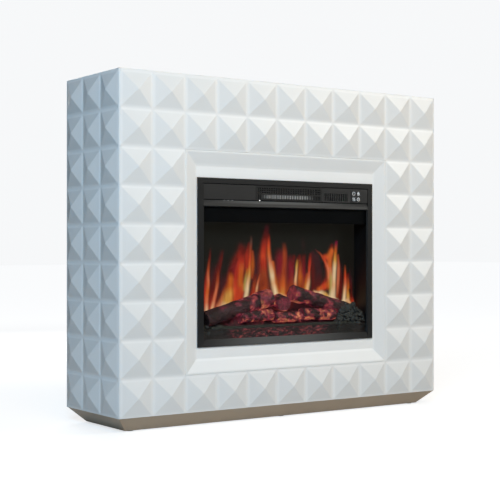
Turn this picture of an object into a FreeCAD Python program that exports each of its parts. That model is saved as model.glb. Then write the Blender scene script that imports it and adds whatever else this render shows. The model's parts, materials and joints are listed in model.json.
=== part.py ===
"""Electric fireplace: a white mantel with pyramid relief around a black insert.

Millimetres, Z up, the front faces -Y, the floor is Z = 0 and X = 0 is the middle.
"""
import FreeCAD, Part
import math
import os

V = FreeCAD.Vector

# ---- driving dimensions: mantel ----
PITCH = 100.0            # one pyramid tile with its groove
COLUMNS, ROWS, DEEP = 11, 9, 3
GROOVE = 5.0             # flat channel between two pyramids
CORNER_MARGIN = 5.5      # flat strip from a vertical corner to the first pyramid
RELIEF = 13.0            # height of a pyramid above the grooves
APEX = 1.2               # flat left on the tip of a pyramid
BOARD = 17.0             # board left behind the grooves
PANEL = 18.0             # plain board
CORNER_RADIUS = 5.0
WIDTH, DEPTH, HEIGHT = COLUMNS * PITCH, DEEP * PITCH, ROWS * PITCH

# ---- driving dimensions: plinth ----
GLIDE = 2.0
PLINTH = 40.0            # from the floor to the underside of the mantel
PLINTH_REVEAL = 2.0      # step back under the mantel's edge
PLINTH_WALL = 22.0       # horizontal thickness of the slanted boards

# ---- driving dimensions: recess around the insert ----
RECESS_COLUMNS, RECESS_ROWS, RECESS_BOTTOM_ROW = 7, 6, 1
BEVEL_EDGE, BEVEL_RUN, BEVEL_DEPTH = 5.0, 36.0, 12.0
SURROUND = 22.0

# ---- driving dimensions: insert ----
TRIM_W, TRIM_H, TRIM_T = 613.0, 457.0, 5.0
TRIM_SIDE, TRIM_BOTTOM = 21.0, 20.0
TRIM_TOP, FASCIA_H, CROSSBAR = 14.5, 45.5, 18.5
CASE_W, CASE_H, CASE_DEPTH, SHEET = 587.0, 431.0, 181.5, 1.2
CASE_FLANGE = 14.0
CASE_GAP = 3.0           # room between the case and the niche boards
GLASS, GLASS_LAP = 4.0, 5.5
SCREEN, SCREEN_SETBACK = 3.0, 74.5

# ---- driving dimensions: buttons ----
KEY_W, KEY_H, KEY_GAP, KEY_WALL = 14.4, 13.8, 0.3, 2.2
KEY_PROUD, KEY_TRAVEL = 1.2, 1.5
KEYS_X, KEYS_Z = 242.0, 630.0

# ---- driving dimensions: flame rotor and blower ----
SHAFT_R, RUNNING = 3.0, 0.05
ROTOR_Y, ROTOR_Z, FLAG_R, FLAG_W, FLAGS = -22.0, 292.0, 21.0, 34.0, 12
WHEEL_Y, WHEEL_Z, WHEEL_R, WHEEL_L, BLADES = -62.0, 626.0, 17.0, 190.0, 22

# ---- positions worked out from them ----
X1 = WIDTH / 2
FRONT = -(DEPTH + RELIEF) / 2 + RELIEF      # plane of the front grooves
BACK = FRONT + DEPTH
Z0, Z1 = PLINTH, PLINTH + HEIGHT
INNER_X, INNER_Y = X1 - BOARD, FRONT + BOARD
RECESS_X = RECESS_COLUMNS * PITCH / 2
RECESS_Z0 = Z0 + RECESS_BOTTOM_ROW * PITCH
RECESS_Z1 = RECESS_Z0 + RECESS_ROWS * PITCH
FLAT = FRONT + BEVEL_DEPTH                  # plane that the trim frame sits on
SURROUND_BACK = FRONT + SURROUND
MID_Z = (RECESS_Z0 + RECESS_Z1) / 2
TRIM_X, TRIM_Z0, TRIM_Z1 = TRIM_W / 2, MID_Z - TRIM_H / 2, MID_Z + TRIM_H / 2
TRIM_Y = FLAT - TRIM_T
OPEN_X, OPEN_Z0 = TRIM_X - TRIM_SIDE, TRIM_Z0 + TRIM_BOTTOM
FASCIA_Z1 = TRIM_Z1 - TRIM_TOP
FASCIA_Z0 = FASCIA_Z1 - FASCIA_H
OPEN_Z1 = FASCIA_Z0 - CROSSBAR
CASE_X, CASE_Z0, CASE_Z1 = CASE_W / 2, MID_Z - CASE_H / 2, MID_Z + CASE_H / 2
CASE_BACK = FLAT + CASE_DEPTH
IN_X, IN_Z0, IN_Z1 = CASE_X - SHEET, CASE_Z0 + SHEET, CASE_Z1 - SHEET
NICHE_X, NICHE_Z0, NICHE_Z1 = CASE_X + CASE_GAP, CASE_Z0 - CASE_GAP, CASE_Z1 + CASE_GAP
DECK_Z = OPEN_Z1 + 6.0                      # underside of the heater deck
GLASS_Y = FLAT
SCREEN_Y = FRONT + SCREEN_SETBACK
BED_Y0, BED_Y1 = GLASS_Y + GLASS + 3.0, SCREEN_Y - 1.0


# ---- helpers ----
def box(x0, x1, y0, y1, z0, z1):
    return Part.makeBox(x1 - x0, y1 - y0, z1 - z0, V(x0, y0, z0))


def bar(axis, start, length, radius):
    """A cylinder from start along X, Y or Z."""
    return Part.makeCylinder(radius, length, V(*start), axis)


X, Y, Z = V(1, 0, 0), V(0, 1, 0), V(0, 0, 1)


def prism(points, along):
    """A closed outline of points, pushed along a vector."""
    wire = Part.makePolygon([V(*p) for p in points] + [V(*points[0])])
    return Part.Face(wire).extrude(V(*along))


def loft(lower, upper):
    """A straight-sided solid between two outlines of equally many points."""
    wires = [Part.makePolygon([V(*p) for p in ring] + [V(*ring[0])]) for ring in (lower, upper)]
    return Part.makeLoft(wires, True, True)


def rectangle(x0, x1, y0, y1, z):
    return [(x0, y0, z), (x1, y0, z), (x1, y1, z), (x0, y1, z)]


def fuse(shapes):
    joined = shapes[0].multiFuse(shapes[1:]) if len(shapes) > 1 else shapes[0]
    return joined.removeSplitter()


def cut(shape, tools):
    return shape.cut(tools) if tools else shape


def mirrored(shape):
    return shape.mirror(V(0, 0, 0), X)


def screw(start, axis, shank_r, length, head_r, head_h):
    """A pan-head screw whose shank starts at the head's underside."""
    head = Part.makeCylinder(head_r, head_h, V(*start) - axis * head_h, axis)
    return head.fuse(Part.makeCylinder(shank_r, length, V(*start), axis))


# ---- mantel ----
def cells(count, first_margin, last_margin):
    """Start and end of each pyramid's base along one direction, from 0."""
    spans = []
    for i in range(count):
        low = first_margin if i == 0 else GROOVE / 2
        high = last_margin if i == count - 1 else GROOVE / 2
        spans.append((i * PITCH + low, (i + 1) * PITCH - high))
    return spans


def pyramid(u0, u1, z0, z1, place):
    """A pyramid on a base u0..u1 by z0..z1; place(u, out, z) gives its point in space."""
    root = -1.0
    base = [(u0, z0), (u1, z0), (u1, z1), (u0, z1)]
    um, zm, half = (u0 + u1) / 2, (z0 + z1) / 2, APEX / 2
    tip = [(um - half, zm - half), (um + half, zm - half), (um + half, zm + half), (um - half, zm + half)]
    peak = loft([place(u, 0, z) for u, z in base], [place(u, RELIEF, z) for u, z in tip])
    foot = loft([place(u, root, z) for u, z in base], [place(u, 0, z) for u, z in base])
    return peak.fuse(foot)


def rounded_block():
    """The mantel's outer block with its two front corners rounded."""
    block = box(-X1, X1, FRONT, BACK, Z0, Z1)
    corners = [e for e in block.Edges
               if abs(e.CenterOfMass.y - FRONT) < 0.01 and abs(abs(e.CenterOfMass.x) - X1) < 0.01]
    return block.makeFillet(CORNER_RADIUS, corners)


def front_panel():
    outline = [(-X1, FRONT, Z0), (X1, FRONT, Z0), (INNER_X, INNER_Y, Z0), (-INNER_X, INNER_Y, Z0)]
    panel = rounded_block().common(prism(outline, (0, 0, HEIGHT)))
    panel = panel.cut(box(-RECESS_X, RECESS_X, FRONT - 1, INNER_Y + 1, RECESS_Z0, RECESS_Z1))
    peaks = []
    for u0, u1 in cells(COLUMNS, CORNER_MARGIN, CORNER_MARGIN):
        for z0, z1 in cells(ROWS, GROOVE / 2, GROOVE):
            middle_x, middle_z = (u0 + u1) / 2 - X1, (z0 + z1) / 2 + Z0
            if abs(middle_x) < RECESS_X and RECESS_Z0 < middle_z < RECESS_Z1:
                continue
            peaks.append(pyramid(u0, u1, z0, z1, lambda u, out, z: (u - X1, FRONT - out, z + Z0)))
    return fuse([panel] + peaks)


def side_panel():
    """The right-hand side; the left is its mirror image."""
    outline = [(X1, FRONT, Z0), (X1, BACK, Z0), (INNER_X, BACK, Z0), (INNER_X, INNER_Y, Z0)]
    panel = rounded_block().common(prism(outline, (0, 0, HEIGHT)))
    peaks = []
    for u0, u1 in cells(DEEP, CORNER_MARGIN, GROOVE):
        for z0, z1 in cells(ROWS, GROOVE / 2, GROOVE):
            peaks.append(pyramid(u0, u1, z0, z1, lambda u, out, z: (X1 + out, FRONT + u, z + Z0)))
    return fuse([panel] + peaks)


def recess_surround():
    """The bevelled picture frame that steps back to the insert."""
    def ring(inset, y):
        return [(-RECESS_X + inset, y, RECESS_Z0 + inset), (RECESS_X - inset, y, RECESS_Z0 + inset),
                (RECESS_X - inset, y, RECESS_Z1 - inset), (-RECESS_X + inset, y, RECESS_Z1 - inset)]
    block = box(-RECESS_X, RECESS_X, FRONT, SURROUND_BACK, RECESS_Z0, RECESS_Z1)
    funnel = loft(ring(BEVEL_EDGE, FRONT), ring(BEVEL_EDGE + BEVEL_RUN, FLAT))
    hole = box(-NICHE_X, NICHE_X, FLAT - 1, SURROUND_BACK + 1, NICHE_Z0, NICHE_Z1)
    return block.cut(funnel).cut(hole)


def plinth():
    """Four mitred boards that lean in by as much as they are high."""
    lean = PLINTH - GLIDE

    def frustum(inset):
        low, high = inset + lean, inset
        return loft(rectangle(-X1 + low, X1 - low, FRONT + low, BACK - low, GLIDE),
                    rectangle(-X1 + high, X1 - high, FRONT + high, BACK - high, PLINTH))
    ring = frustum(PLINTH_REVEAL).cut(frustum(PLINTH_REVEAL + PLINTH_WALL))
    half = DEPTH / 2
    middle = (FRONT + BACK) / 2
    corner_fl, corner_fr = (-X1, FRONT, 0), (X1, FRONT, 0)
    corner_bl, corner_br = (-X1, BACK, 0), (X1, BACK, 0)
    inner_l, inner_r = (-X1 + half, middle, 0), (X1 - half, middle, 0)
    front = ring.common(prism([corner_fl, corner_fr, inner_r, inner_l], (0, 0, PLINTH)))
    rear = ring.common(prism([corner_bl, corner_br, inner_r, inner_l], (0, 0, PLINTH)))
    right = ring.common(prism([corner_fr, corner_br, inner_r], (0, 0, PLINTH)))
    return front, rear, Part.makeCompound([mirrored(right), right])


def plinth_glides():
    """Six nylon discs under the plinth boards."""
    radius = 9.0
    inset = PLINTH_REVEAL + PLINTH - GLIDE + PLINTH_WALL / 2
    discs = []
    for x in (-X1 + inset + radius, 0.0, X1 - inset - radius):
        for y in (FRONT + inset, BACK - inset):
            discs.append(Part.makeCone(radius - 1, radius, GLIDE, V(x, y, 0)))
    return Part.makeCompound(discs)


BATTEN = 30.0
RAIL_T, RAIL_H = 16.0, 80.0
RAIL_SETBACK = 2.0        # the anti-tip plates lie in this step
SHELF_BACK, CHEEK_BACK, CHEEK_OVER = 100.0, 60.0, 40.0


def battens():
    right = box(INNER_X - BATTEN, INNER_X, INNER_Y, INNER_Y + BATTEN, Z0 + PANEL, Z1 - PANEL)
    return [mirrored(right), right]


def niche_shelf():
    shelf = box(-INNER_X, INNER_X, SURROUND_BACK, SHELF_BACK, NICHE_Z0 - PANEL, NICHE_Z0)
    return shelf.cut(battens())


def niche_cheek():
    return box(NICHE_X, NICHE_X + PANEL, SURROUND_BACK, CHEEK_BACK, NICHE_Z0, NICHE_Z1 + CHEEK_OVER)


def rear_rails():
    back = BACK - RAIL_SETBACK
    upper = box(-INNER_X, INNER_X, back - RAIL_T, back, Z1 - PANEL - RAIL_H, Z1 - PANEL)
    lower = box(-INNER_X, INNER_X, back - RAIL_T, back, Z0 + PANEL, Z0 + PANEL + RAIL_H)
    return upper, lower


TETHER_X, TETHER_Z, TETHER_R = 400.0, Z1 - PANEL - RAIL_H - 14.0, 3.0
PLATE_W, PLATE_H = 30.0, 78.0
PLATE_SCREWS = (26.0, 50.0)     # above the tether hole


def anti_tip_plates():
    """Two steel plates; the tether hole hangs free below the rail."""
    plates = []
    for x in (-TETHER_X, TETHER_X):
        z0 = TETHER_Z - 12
        plate = box(x - PLATE_W / 2, x + PLATE_W / 2, BACK - RAIL_SETBACK, BACK, z0, z0 + PLATE_H)
        plates.append(plate.cut(bar(Y, (x, BACK - 5, TETHER_Z), 10, TETHER_R)))
    return plates


PLATE_SCREW = (1.9, 14.0, 4.0, 1.4)               # shank radius, length, head radius, head height
BATTEN_SCREW = (2.0, BATTEN + 12.0, 4.0, 2.2)
BATTEN_SCREWS, BATTEN_SCREW_Z, BATTEN_SCREW_PITCH = 5, Z0 + 110.0, 170.0


def panel_screws():
    """Screws that hold the plates to the rail and the battens to the front panel."""
    screws = []
    for x in (-TETHER_X, TETHER_X):
        for up in PLATE_SCREWS:
            start = (x, BACK - PLATE_SCREW[3], TETHER_Z + up)
            screws.append(screw(start, V(0, -1, 0), *PLATE_SCREW))
    for x in (-INNER_X + BATTEN / 2, INNER_X - BATTEN / 2):
        for i in range(BATTEN_SCREWS):
            z = BATTEN_SCREW_Z + i * BATTEN_SCREW_PITCH
            screws.append(screw((x, INNER_Y + BATTEN, z), V(0, -1, 0), *BATTEN_SCREW))
    return screws


# ---- insert: front ----
CROSSBAR_LEAN, RAIL_LEAN = 2.4, 2.6      # how far the bars' upper edges lie behind the lower
LEAN_START = 2.0                         # upright edge left under each leaning face
OPEN_FLARE = 2.5                         # the window widens by this much towards the front
STILE_X = OPEN_X + OPEN_FLARE            # inner edges of the two uprights
TRIM_CHAMFER = 1.5
FASCIA_SIDE, FASCIA_GAP = 18.5, 0.5      # frame beside the fascia, and the gap round the fascia


def lean_back(z0, z1, lean):
    """The wedge that leaves a bar's front face leaning back between two heights."""
    return prism([(-STILE_X, TRIM_Y, z0), (-STILE_X, TRIM_Y - 1, z0),
                  (-STILE_X, TRIM_Y - 1, z1), (-STILE_X, TRIM_Y + lean, z1)], (2 * STILE_X, 0, 0))


def trim_frame():
    frame = box(-TRIM_X, TRIM_X, TRIM_Y, FLAT, TRIM_Z0, TRIM_Z1)
    rim = [e for e in frame.Edges if abs(e.CenterOfMass.y - TRIM_Y) < 0.01]
    frame = frame.makeChamfer(TRIM_CHAMFER, rim)
    fascia_x = TRIM_X - FASCIA_SIDE
    frame = frame.cut(box(-fascia_x, fascia_x, TRIM_Y - 1, FLAT + 1, FASCIA_Z0, FASCIA_Z1))

    def ring(inset, y):
        return [(-OPEN_X + inset, y, OPEN_Z0 + inset), (OPEN_X - inset, y, OPEN_Z0 + inset),
                (OPEN_X - inset, y, OPEN_Z1 - inset), (-OPEN_X + inset, y, OPEN_Z1 - inset)]
    frame = frame.cut(loft(ring(-OPEN_FLARE, TRIM_Y), ring(0, FLAT)))
    return frame.cut([lean_back(OPEN_Z1 + LEAN_START, FASCIA_Z0 + FASCIA_GAP, CROSSBAR_LEAN),
                      lean_back(TRIM_Z0 + LEAN_START, OPEN_Z0, RAIL_LEAN)])


GRILLE_X, GRILLE_Z0, GRILLE_Z1 = 116.5, 612.0, 650.0
INTAKE_X0, INTAKE_X1, INTAKE_Z0, INTAKE_Z1 = 122.0, 214.0, 612.0, 640.0
BEZEL_W, BEZEL_H = 2 * KEY_W + 3 * KEY_WALL + 4 * KEY_GAP, 2 * KEY_H + 3 * KEY_WALL + 4 * KEY_GAP
FASCIA_Y, FASCIA_T = TRIM_Y + 1.0, 3.0
FIT = 0.3                       # gap round a piece that sits in the fascia
GRILLE_PROUD = 0.3
PILOT_R, PILOT_X = 0.9, -104.0  # indicator under the left end of the outlet grille
PILOT_TAIL = 0.5                # stands out behind the fascia, short of the duct
PILOT_Z = (FASCIA_Z0 + FASCIA_GAP + GRILLE_Z0 - FIT) / 2


def fascia_panel():
    side = TRIM_X - FASCIA_SIDE - FASCIA_GAP
    panel = box(-side, side, FASCIA_Y, FASCIA_Y + FASCIA_T, FASCIA_Z0 + FASCIA_GAP, FASCIA_Z1 - FASCIA_GAP)
    y0, y1 = FASCIA_Y - 1, FASCIA_Y + FASCIA_T + 1
    bezel_x, bezel_z = BEZEL_W / 2 + FIT, BEZEL_H / 2 + FIT
    return panel.cut([
        box(-GRILLE_X - FIT, GRILLE_X + FIT, y0, y1, GRILLE_Z0 - FIT, GRILLE_Z1 + FIT),
        box(INTAKE_X0 - FIT, INTAKE_X1 + FIT, y0, y1, INTAKE_Z0 - FIT, INTAKE_Z1 + FIT),
        box(KEYS_X - bezel_x, KEYS_X + bezel_x, y0, y1, KEYS_Z - bezel_z, KEYS_Z + bezel_z),
        bar(Y, (PILOT_X, y0, PILOT_Z), y1 - y0, PILOT_R)])


def pilot_light():
    """Round-nosed lens of the indicator lamp, pressed into the fascia."""
    stem = bar(Y, (PILOT_X, FASCIA_Y, PILOT_Z), FASCIA_T + PILOT_TAIL, PILOT_R)
    return stem.fuse(Part.makeSphere(PILOT_R, V(PILOT_X, FASCIA_Y, PILOT_Z))).removeSplitter()


MESH_PITCH, WINDOW_W, WINDOW_H, WINDOW_PITCH, WINDOW_ROWS, WINDOW_TOP = 6.0, 3.8, 3.6, 5.6, 3, 4.0
MESH_SLOT_W, MESH_SLOT_Z0, MESH_SLOT_Z1 = 2.6, 3.0, 14.5      # heights from the grille's lower edge


def heater_grille():
    """Outlet grille: three rows of small windows over one row of upright slots."""
    y0, y1 = FASCIA_Y - GRILLE_PROUD, FASCIA_Y + FASCIA_T
    plate = box(-GRILLE_X, GRILLE_X, y0, y1, GRILLE_Z0, GRILLE_Z1)
    count = int((2 * GRILLE_X - MESH_PITCH) // MESH_PITCH)
    start = -(count - 1) * MESH_PITCH / 2
    holes = []
    for i in range(count):
        x = start + i * MESH_PITCH
        for row in range(WINDOW_ROWS):
            z = GRILLE_Z1 - WINDOW_TOP - row * WINDOW_PITCH
            holes.append(box(x - WINDOW_W / 2, x + WINDOW_W / 2, y0 - 1, y1 + 1, z - WINDOW_H, z))
        holes.append(box(x - MESH_SLOT_W / 2, x + MESH_SLOT_W / 2, y0 - 1, y1 + 1,
                         GRILLE_Z0 + MESH_SLOT_Z0, GRILLE_Z0 + MESH_SLOT_Z1))
    return plate.cut(holes)


RIBS, RIB_PITCH, RIB_SLOT, RIB_RIM = 13, 6.8, 3.6, 3.0


def intake_grille():
    """Upright ribs beside the outlet."""
    y0, y1 = FASCIA_Y - GRILLE_PROUD, FASCIA_Y + FASCIA_T
    plate = box(INTAKE_X0, INTAKE_X1, y0, y1, INTAKE_Z0, INTAKE_Z1)
    middle = (INTAKE_X0 + INTAKE_X1) / 2
    slots = []
    for i in range(RIBS):
        x = middle + (i - (RIBS - 1) / 2) * RIB_PITCH
        slots.append(box(x - RIB_SLOT / 2, x + RIB_SLOT / 2, y0 - 1, y1 + 1,
                         INTAKE_Z0 + RIB_RIM, INTAKE_Z1 - RIB_RIM))
    return plate.cut(slots)


KEY_PITCH_X = KEY_W + KEY_WALL + 2 * KEY_GAP
KEY_PITCH_Z = KEY_H + KEY_WALL + 2 * KEY_GAP
BEZEL_Y0, BEZEL_Y1 = FASCIA_Y - 0.8, FASCIA_Y + FASCIA_T - 0.3
KEY_ROUND, KEY_LAP, FLANGE_T, STEM_R = 0.8, 0.6, 1.0, 2.0
KEY_PLACES = {
    "button_power": (-1, 1), "button_flame": (1, 1),
    "button_heat": (-1, -1), "button_timer": (1, -1)}


def key_centre(place):
    return KEYS_X + place[0] * KEY_PITCH_X / 2, KEYS_Z + place[1] * KEY_PITCH_Z / 2


def button_bezel():
    bezel = box(KEYS_X - BEZEL_W / 2, KEYS_X + BEZEL_W / 2, BEZEL_Y0, BEZEL_Y1,
                KEYS_Z - BEZEL_H / 2, KEYS_Z + BEZEL_H / 2)
    windows = []
    for place in KEY_PLACES.values():
        x, z = key_centre(place)
        half_w, half_h = KEY_W / 2 + KEY_GAP, KEY_H / 2 + KEY_GAP
        windows.append(box(x - half_w, x + half_w, BEZEL_Y0 - 1, BEZEL_Y1 + 1, z - half_h, z + half_h))
    return bezel.cut(windows)


BOARD_Y, BOARD_T = -118.0, 1.6  # front face and thickness of the control board
BOARD_X0, BOARD_X1, BOARD_Z0, BOARD_Z1 = 206.0, 284.0, 608.0, 652.0
SWITCH_W, SWITCH_H, PLUNGER_H, PLUNGER_R = 6.0, 2.0, 1.0, 1.6
RELAY = (214, 232, 612, 628, 15.4)      # across, up and depth behind the board
SOCKETS = [(214, 232, 634, 642, 9.4), (250, 276, 614, 621, 9.4)]
STEM_GAP = 0.2                 # left between stem and plunger when pressed


def button(place):
    """A key cap with a stop flange behind the bezel and a stem towards its switch."""
    x, z = key_centre(place)
    y0 = BEZEL_Y0 - KEY_PROUD
    flange_y = BEZEL_Y1 + FIT
    cap = box(x - KEY_W / 2, x + KEY_W / 2, y0, flange_y, z - KEY_H / 2, z + KEY_H / 2)
    rim = [e for e in cap.Edges if abs(e.CenterOfMass.y - y0) < 0.01]
    cap = cap.makeFillet(KEY_ROUND, rim)
    half_w, half_h = KEY_W / 2 + KEY_GAP + KEY_LAP, KEY_H / 2 + KEY_GAP + KEY_LAP
    flange = box(x - half_w, x + half_w, flange_y, flange_y + FLANGE_T, z - half_h, z + half_h)
    stem_end = BOARD_Y - SWITCH_H - PLUNGER_H - STEM_GAP - KEY_TRAVEL
    stem = bar(Y, (x, flange_y, z), stem_end - flange_y, STEM_R)
    return fuse([cap, flange, stem])


def control_board():
    """The board behind the keys, with its four switches, a relay and two sockets."""
    rear, half = BOARD_Y + BOARD_T, SWITCH_W / 2
    parts = [box(BOARD_X0, BOARD_X1, BOARD_Y, rear, BOARD_Z0, BOARD_Z1)]
    for place in KEY_PLACES.values():
        x, z = key_centre(place)
        parts.append(box(x - half, x + half, BOARD_Y - SWITCH_H, BOARD_Y, z - half, z + half))
        parts.append(bar(Y, (x, BOARD_Y - SWITCH_H - PLUNGER_H, z), PLUNGER_H, PLUNGER_R))
    for x0, x1, z0, z1, depth in [RELAY] + SOCKETS:
        parts.append(box(x0, x1, rear, rear + depth, z0, z1))
    return fuse(parts)


GLASS_BELOW, GLASS_ABOVE, GLASS_CHAMFER = 4.5, 12.0, 0.5     # laps behind the two bars


def front_glass():
    glass = box(-OPEN_X - GLASS_LAP, OPEN_X + GLASS_LAP, GLASS_Y, GLASS_Y + GLASS,
                OPEN_Z0 - GLASS_BELOW, OPEN_Z1 + GLASS_ABOVE)
    edges = [e for e in glass.Edges if abs(e.CenterOfMass.y - GLASS_Y) < 0.01]
    return glass.makeChamfer(GLASS_CHAMFER, edges)


# ---- insert: case ----
def case_side():
    """Right-hand wall, bent inwards at the back to take the rear cover."""
    wall = box(IN_X, CASE_X, FLAT, CASE_BACK, CASE_Z0, CASE_Z1)
    flange = box(CASE_X - CASE_FLANGE, CASE_X, CASE_BACK - SHEET, CASE_BACK, CASE_Z0, CASE_Z1)
    return wall.fuse(flange).removeSplitter()


def case_plate(z0, z1):
    return box(-IN_X, IN_X, FLAT, CASE_BACK - SHEET, z0, z1)


GLAND_X, GLAND_Z, GLAND_BORE, GLAND_NECK = -230.0, 262.0, 3.8, 8.0
INLET_Z, INLET_SLOTS, INLET_PITCH, INLET_W, INLET_H = 626.0, 15, 14.0, 5.0, 36.0


def rear_cover():
    cover = box(-CASE_X, CASE_X, CASE_BACK, CASE_BACK + SHEET, CASE_Z0, CASE_Z1)
    holes = [bar(Y, (GLAND_X, CASE_BACK - 1, GLAND_Z), 4, GLAND_NECK)]
    for i in range(INLET_SLOTS):
        x = (i - (INLET_SLOTS - 1) / 2) * INLET_PITCH
        holes.append(box(x - INLET_W / 2, x + INLET_W / 2, CASE_BACK - 1, CASE_BACK + 4,
                         INLET_Z - INLET_H / 2, INLET_Z + INLET_H / 2))
    return cover.cut(holes)


COVER_SCREW = (1.6, 7.0, 3.2, 1.8)      # shank radius, length, head radius, head height
CHEEK_SCREW = (2.0, 18.0, 3.6, 1.8)
COVER_SCREWS, COVER_MARGIN, CHEEK_SCREW_Y = 5, 15.0, -40.0
CHEEK_SCREWS_Z = (CASE_Z0 + 40, CASE_Z1 - 95)


def case_screws():
    """Screws of the rear cover, and four more from the case into the niche cheeks."""
    screws = []
    x = CASE_X - CASE_FLANGE / 2
    for side in (-1, 1):
        for i in range(COVER_SCREWS):
            z = CASE_Z0 + COVER_MARGIN + i * (CASE_H - 2 * COVER_MARGIN) / (COVER_SCREWS - 1)
            screws.append(screw((side * x, CASE_BACK + SHEET, z), V(0, -1, 0), *COVER_SCREW))
        for z in CHEEK_SCREWS_Z:
            screws.append(screw((side * IN_X, CHEEK_SCREW_Y, z), V(side, 0, 0), *CHEEK_SCREW))
    return screws


FOOT_X, FEET_Y, FOOT_R = 250.0, (-100.0, 30.0), 9.0


def insert_feet():
    feet = [bar(Z, (x, y, NICHE_Z0), CASE_GAP, FOOT_R) for x in (-FOOT_X, FOOT_X) for y in FEET_Y]
    return Part.makeCompound(feet)


def heater_deck():
    """The sheet that parts the heater space from the flame space."""
    return box(-IN_X, IN_X, BED_Y0, CASE_BACK - SHEET, DECK_Z, DECK_Z + SHEET)


VALANCE_H, VALANCE_LIP = 41.0, 8.0       # below the crossbar, and turned in under it


def upper_valance():
    """Black strip that hides the top of the flame space."""
    x, y0, z0 = IN_X - 1, BED_Y0 - 0.2 - SHEET, OPEN_Z1 - VALANCE_H
    front = box(-x, x, y0, y0 + SHEET, z0, DECK_Z + 6)
    lip = box(-x, x, y0, BED_Y0 + VALANCE_LIP, z0, z0 + SHEET)
    return front.fuse(lip).removeSplitter()


# ---- insert: heater ----
HOUSE_X, HOUSE_Y0, HOUSE_Y1, HOUSE_Z0, HOUSE_Z1 = 101.0, -88.0, -38.0, 601.0, 652.0
DUCT_X, DUCT_Y0, DUCT_Z0, DUCT_Z1 = 112.0, FASCIA_Y + FASCIA_T + 1.0, 611.0, 651.0
HOUSE_WALL, WHEEL_ROOM = 1.6, 2.5


def blower_housing():
    """Scroll of the tangential fan with its outlet duct to the front grille."""
    wall = HOUSE_WALL
    body = box(-HOUSE_X, HOUSE_X, HOUSE_Y0, HOUSE_Y1, HOUSE_Z0, HOUSE_Z1)
    duct = box(-DUCT_X, DUCT_X, DUCT_Y0, HOUSE_Y0, DUCT_Z0, DUCT_Z1)
    inner_x = HOUSE_X - wall
    tunnel = box(-DUCT_X + wall, DUCT_X - wall, DUCT_Y0 - 1, HOUSE_Y0 - wall, DUCT_Z0 + wall, DUCT_Z1 - wall)
    mouth = box(-inner_x, inner_x, HOUSE_Y0 - wall - 1, WHEEL_Y, WHEEL_Z - 8, WHEEL_Z + 14)
    scroll = bar(X, (-inner_x, WHEEL_Y, WHEEL_Z), 2 * inner_x, WHEEL_R + WHEEL_ROOM)
    intake = box(-inner_x, inner_x, WHEEL_Y, HOUSE_Y1 + 1, WHEEL_Z - 4, WHEEL_Z + 16)
    bearing = bar(X, (-HOUSE_X - 1, WHEEL_Y, WHEEL_Z), 2 * HOUSE_X + 2, SHAFT_R + RUNNING)
    return body.fuse(duct).removeSplitter().cut([tunnel, mouth, scroll, intake, bearing])


def blower_wheel():
    """Tangential wheel: end discs, a middle disc and blades on one shaft."""
    x0 = -WHEEL_L / 2
    parts = [bar(X, (-128, WHEEL_Y, WHEEL_Z), 128 + HOUSE_X, SHAFT_R)]
    for x in (x0, -1.0, WHEEL_L / 2 - 2):
        parts.append(bar(X, (x, WHEEL_Y, WHEEL_Z), 2, WHEEL_R))
    blade = box(x0 + 1, -x0 - 1, -0.4, 0.4, WHEEL_R - 5, WHEEL_R - 0.6)
    blade.rotate(V(0, 0, WHEEL_R - 3), X, 28)
    for i in range(BLADES):
        one = blade.copy()
        one.rotate(V(0, 0, 0), X, i * 360 / BLADES)
        one.translate(V(0, WHEEL_Y, WHEEL_Z))
        parts.append(one)
    return fuse(parts)


def blower_motor():
    """Shaded-pole motor on the left end of the fan."""
    core = box(-124, -104, WHEEL_Y - 22, WHEEL_Y + 22, WHEEL_Z - 22, WHEEL_Z + 22)
    coil = box(-126, -102, WHEEL_Y - 13, WHEEL_Y + 13, WHEEL_Z - 24, WHEEL_Z - 16)
    caps = bar(X, (-133, WHEEL_Y, WHEEL_Z), 31.5, 11)
    bore = bar(X, (-129, WHEEL_Y, WHEEL_Z), 40, SHAFT_R + RUNNING)
    return fuse([core, coil, caps]).cut(bore)


def heater_element():
    """Finned ceramic heater that fills the duct behind the grille."""
    block = box(-106, 106, -118, -104, 614, 648)
    slots = []
    for i in range(34):
        x = -99 + i * 6
        for z0, z1 in ((617, 629.5), (632.5, 645)):
            slots.append(box(x - 2.4, x + 2.4, -119, -103, z0, z1))
    return block.cut(slots)


def thermal_cutout():
    disc = bar(X, (-118, -110, 631), 6, 8)
    blades = [box(-126, -118, -110.4, -109.6, z, z + 6) for z in (624, 632)]
    return fuse([disc] + blades)


def power_supply():
    base = box(150, 262, -60, 30, DECK_Z + SHEET, DECK_Z + SHEET + 2)
    cover = box(154, 258, -56, 26, DECK_Z + SHEET + 2, DECK_Z + 38)
    top = [e for e in cover.Edges if abs(e.CenterOfMass.z - (DECK_Z + 38)) < 0.01]
    cover = cover.makeChamfer(3, top)
    vents = [box(170 + i * 9, 174 + i * 9, -70, 40, DECK_Z + 14, DECK_Z + 28) for i in range(9)]
    inside = box(156, 256, -54, 24, DECK_Z + SHEET + 4, DECK_Z + 35)
    return base.fuse(cover.cut([inside] + vents)).removeSplitter()


def terminal_block():
    block = box(-262, -206, 0, 24, DECK_Z + SHEET, DECK_Z + 20)
    holes = [bar(Z, (-254 + i * 13, 12, DECK_Z + 10), 20, 3) for i in range(4)]
    holes += [bar(Y, (-254 + i * 13, -1, DECK_Z + 7), 10, 2.2) for i in range(4)]
    return block.cut(holes)


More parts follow.
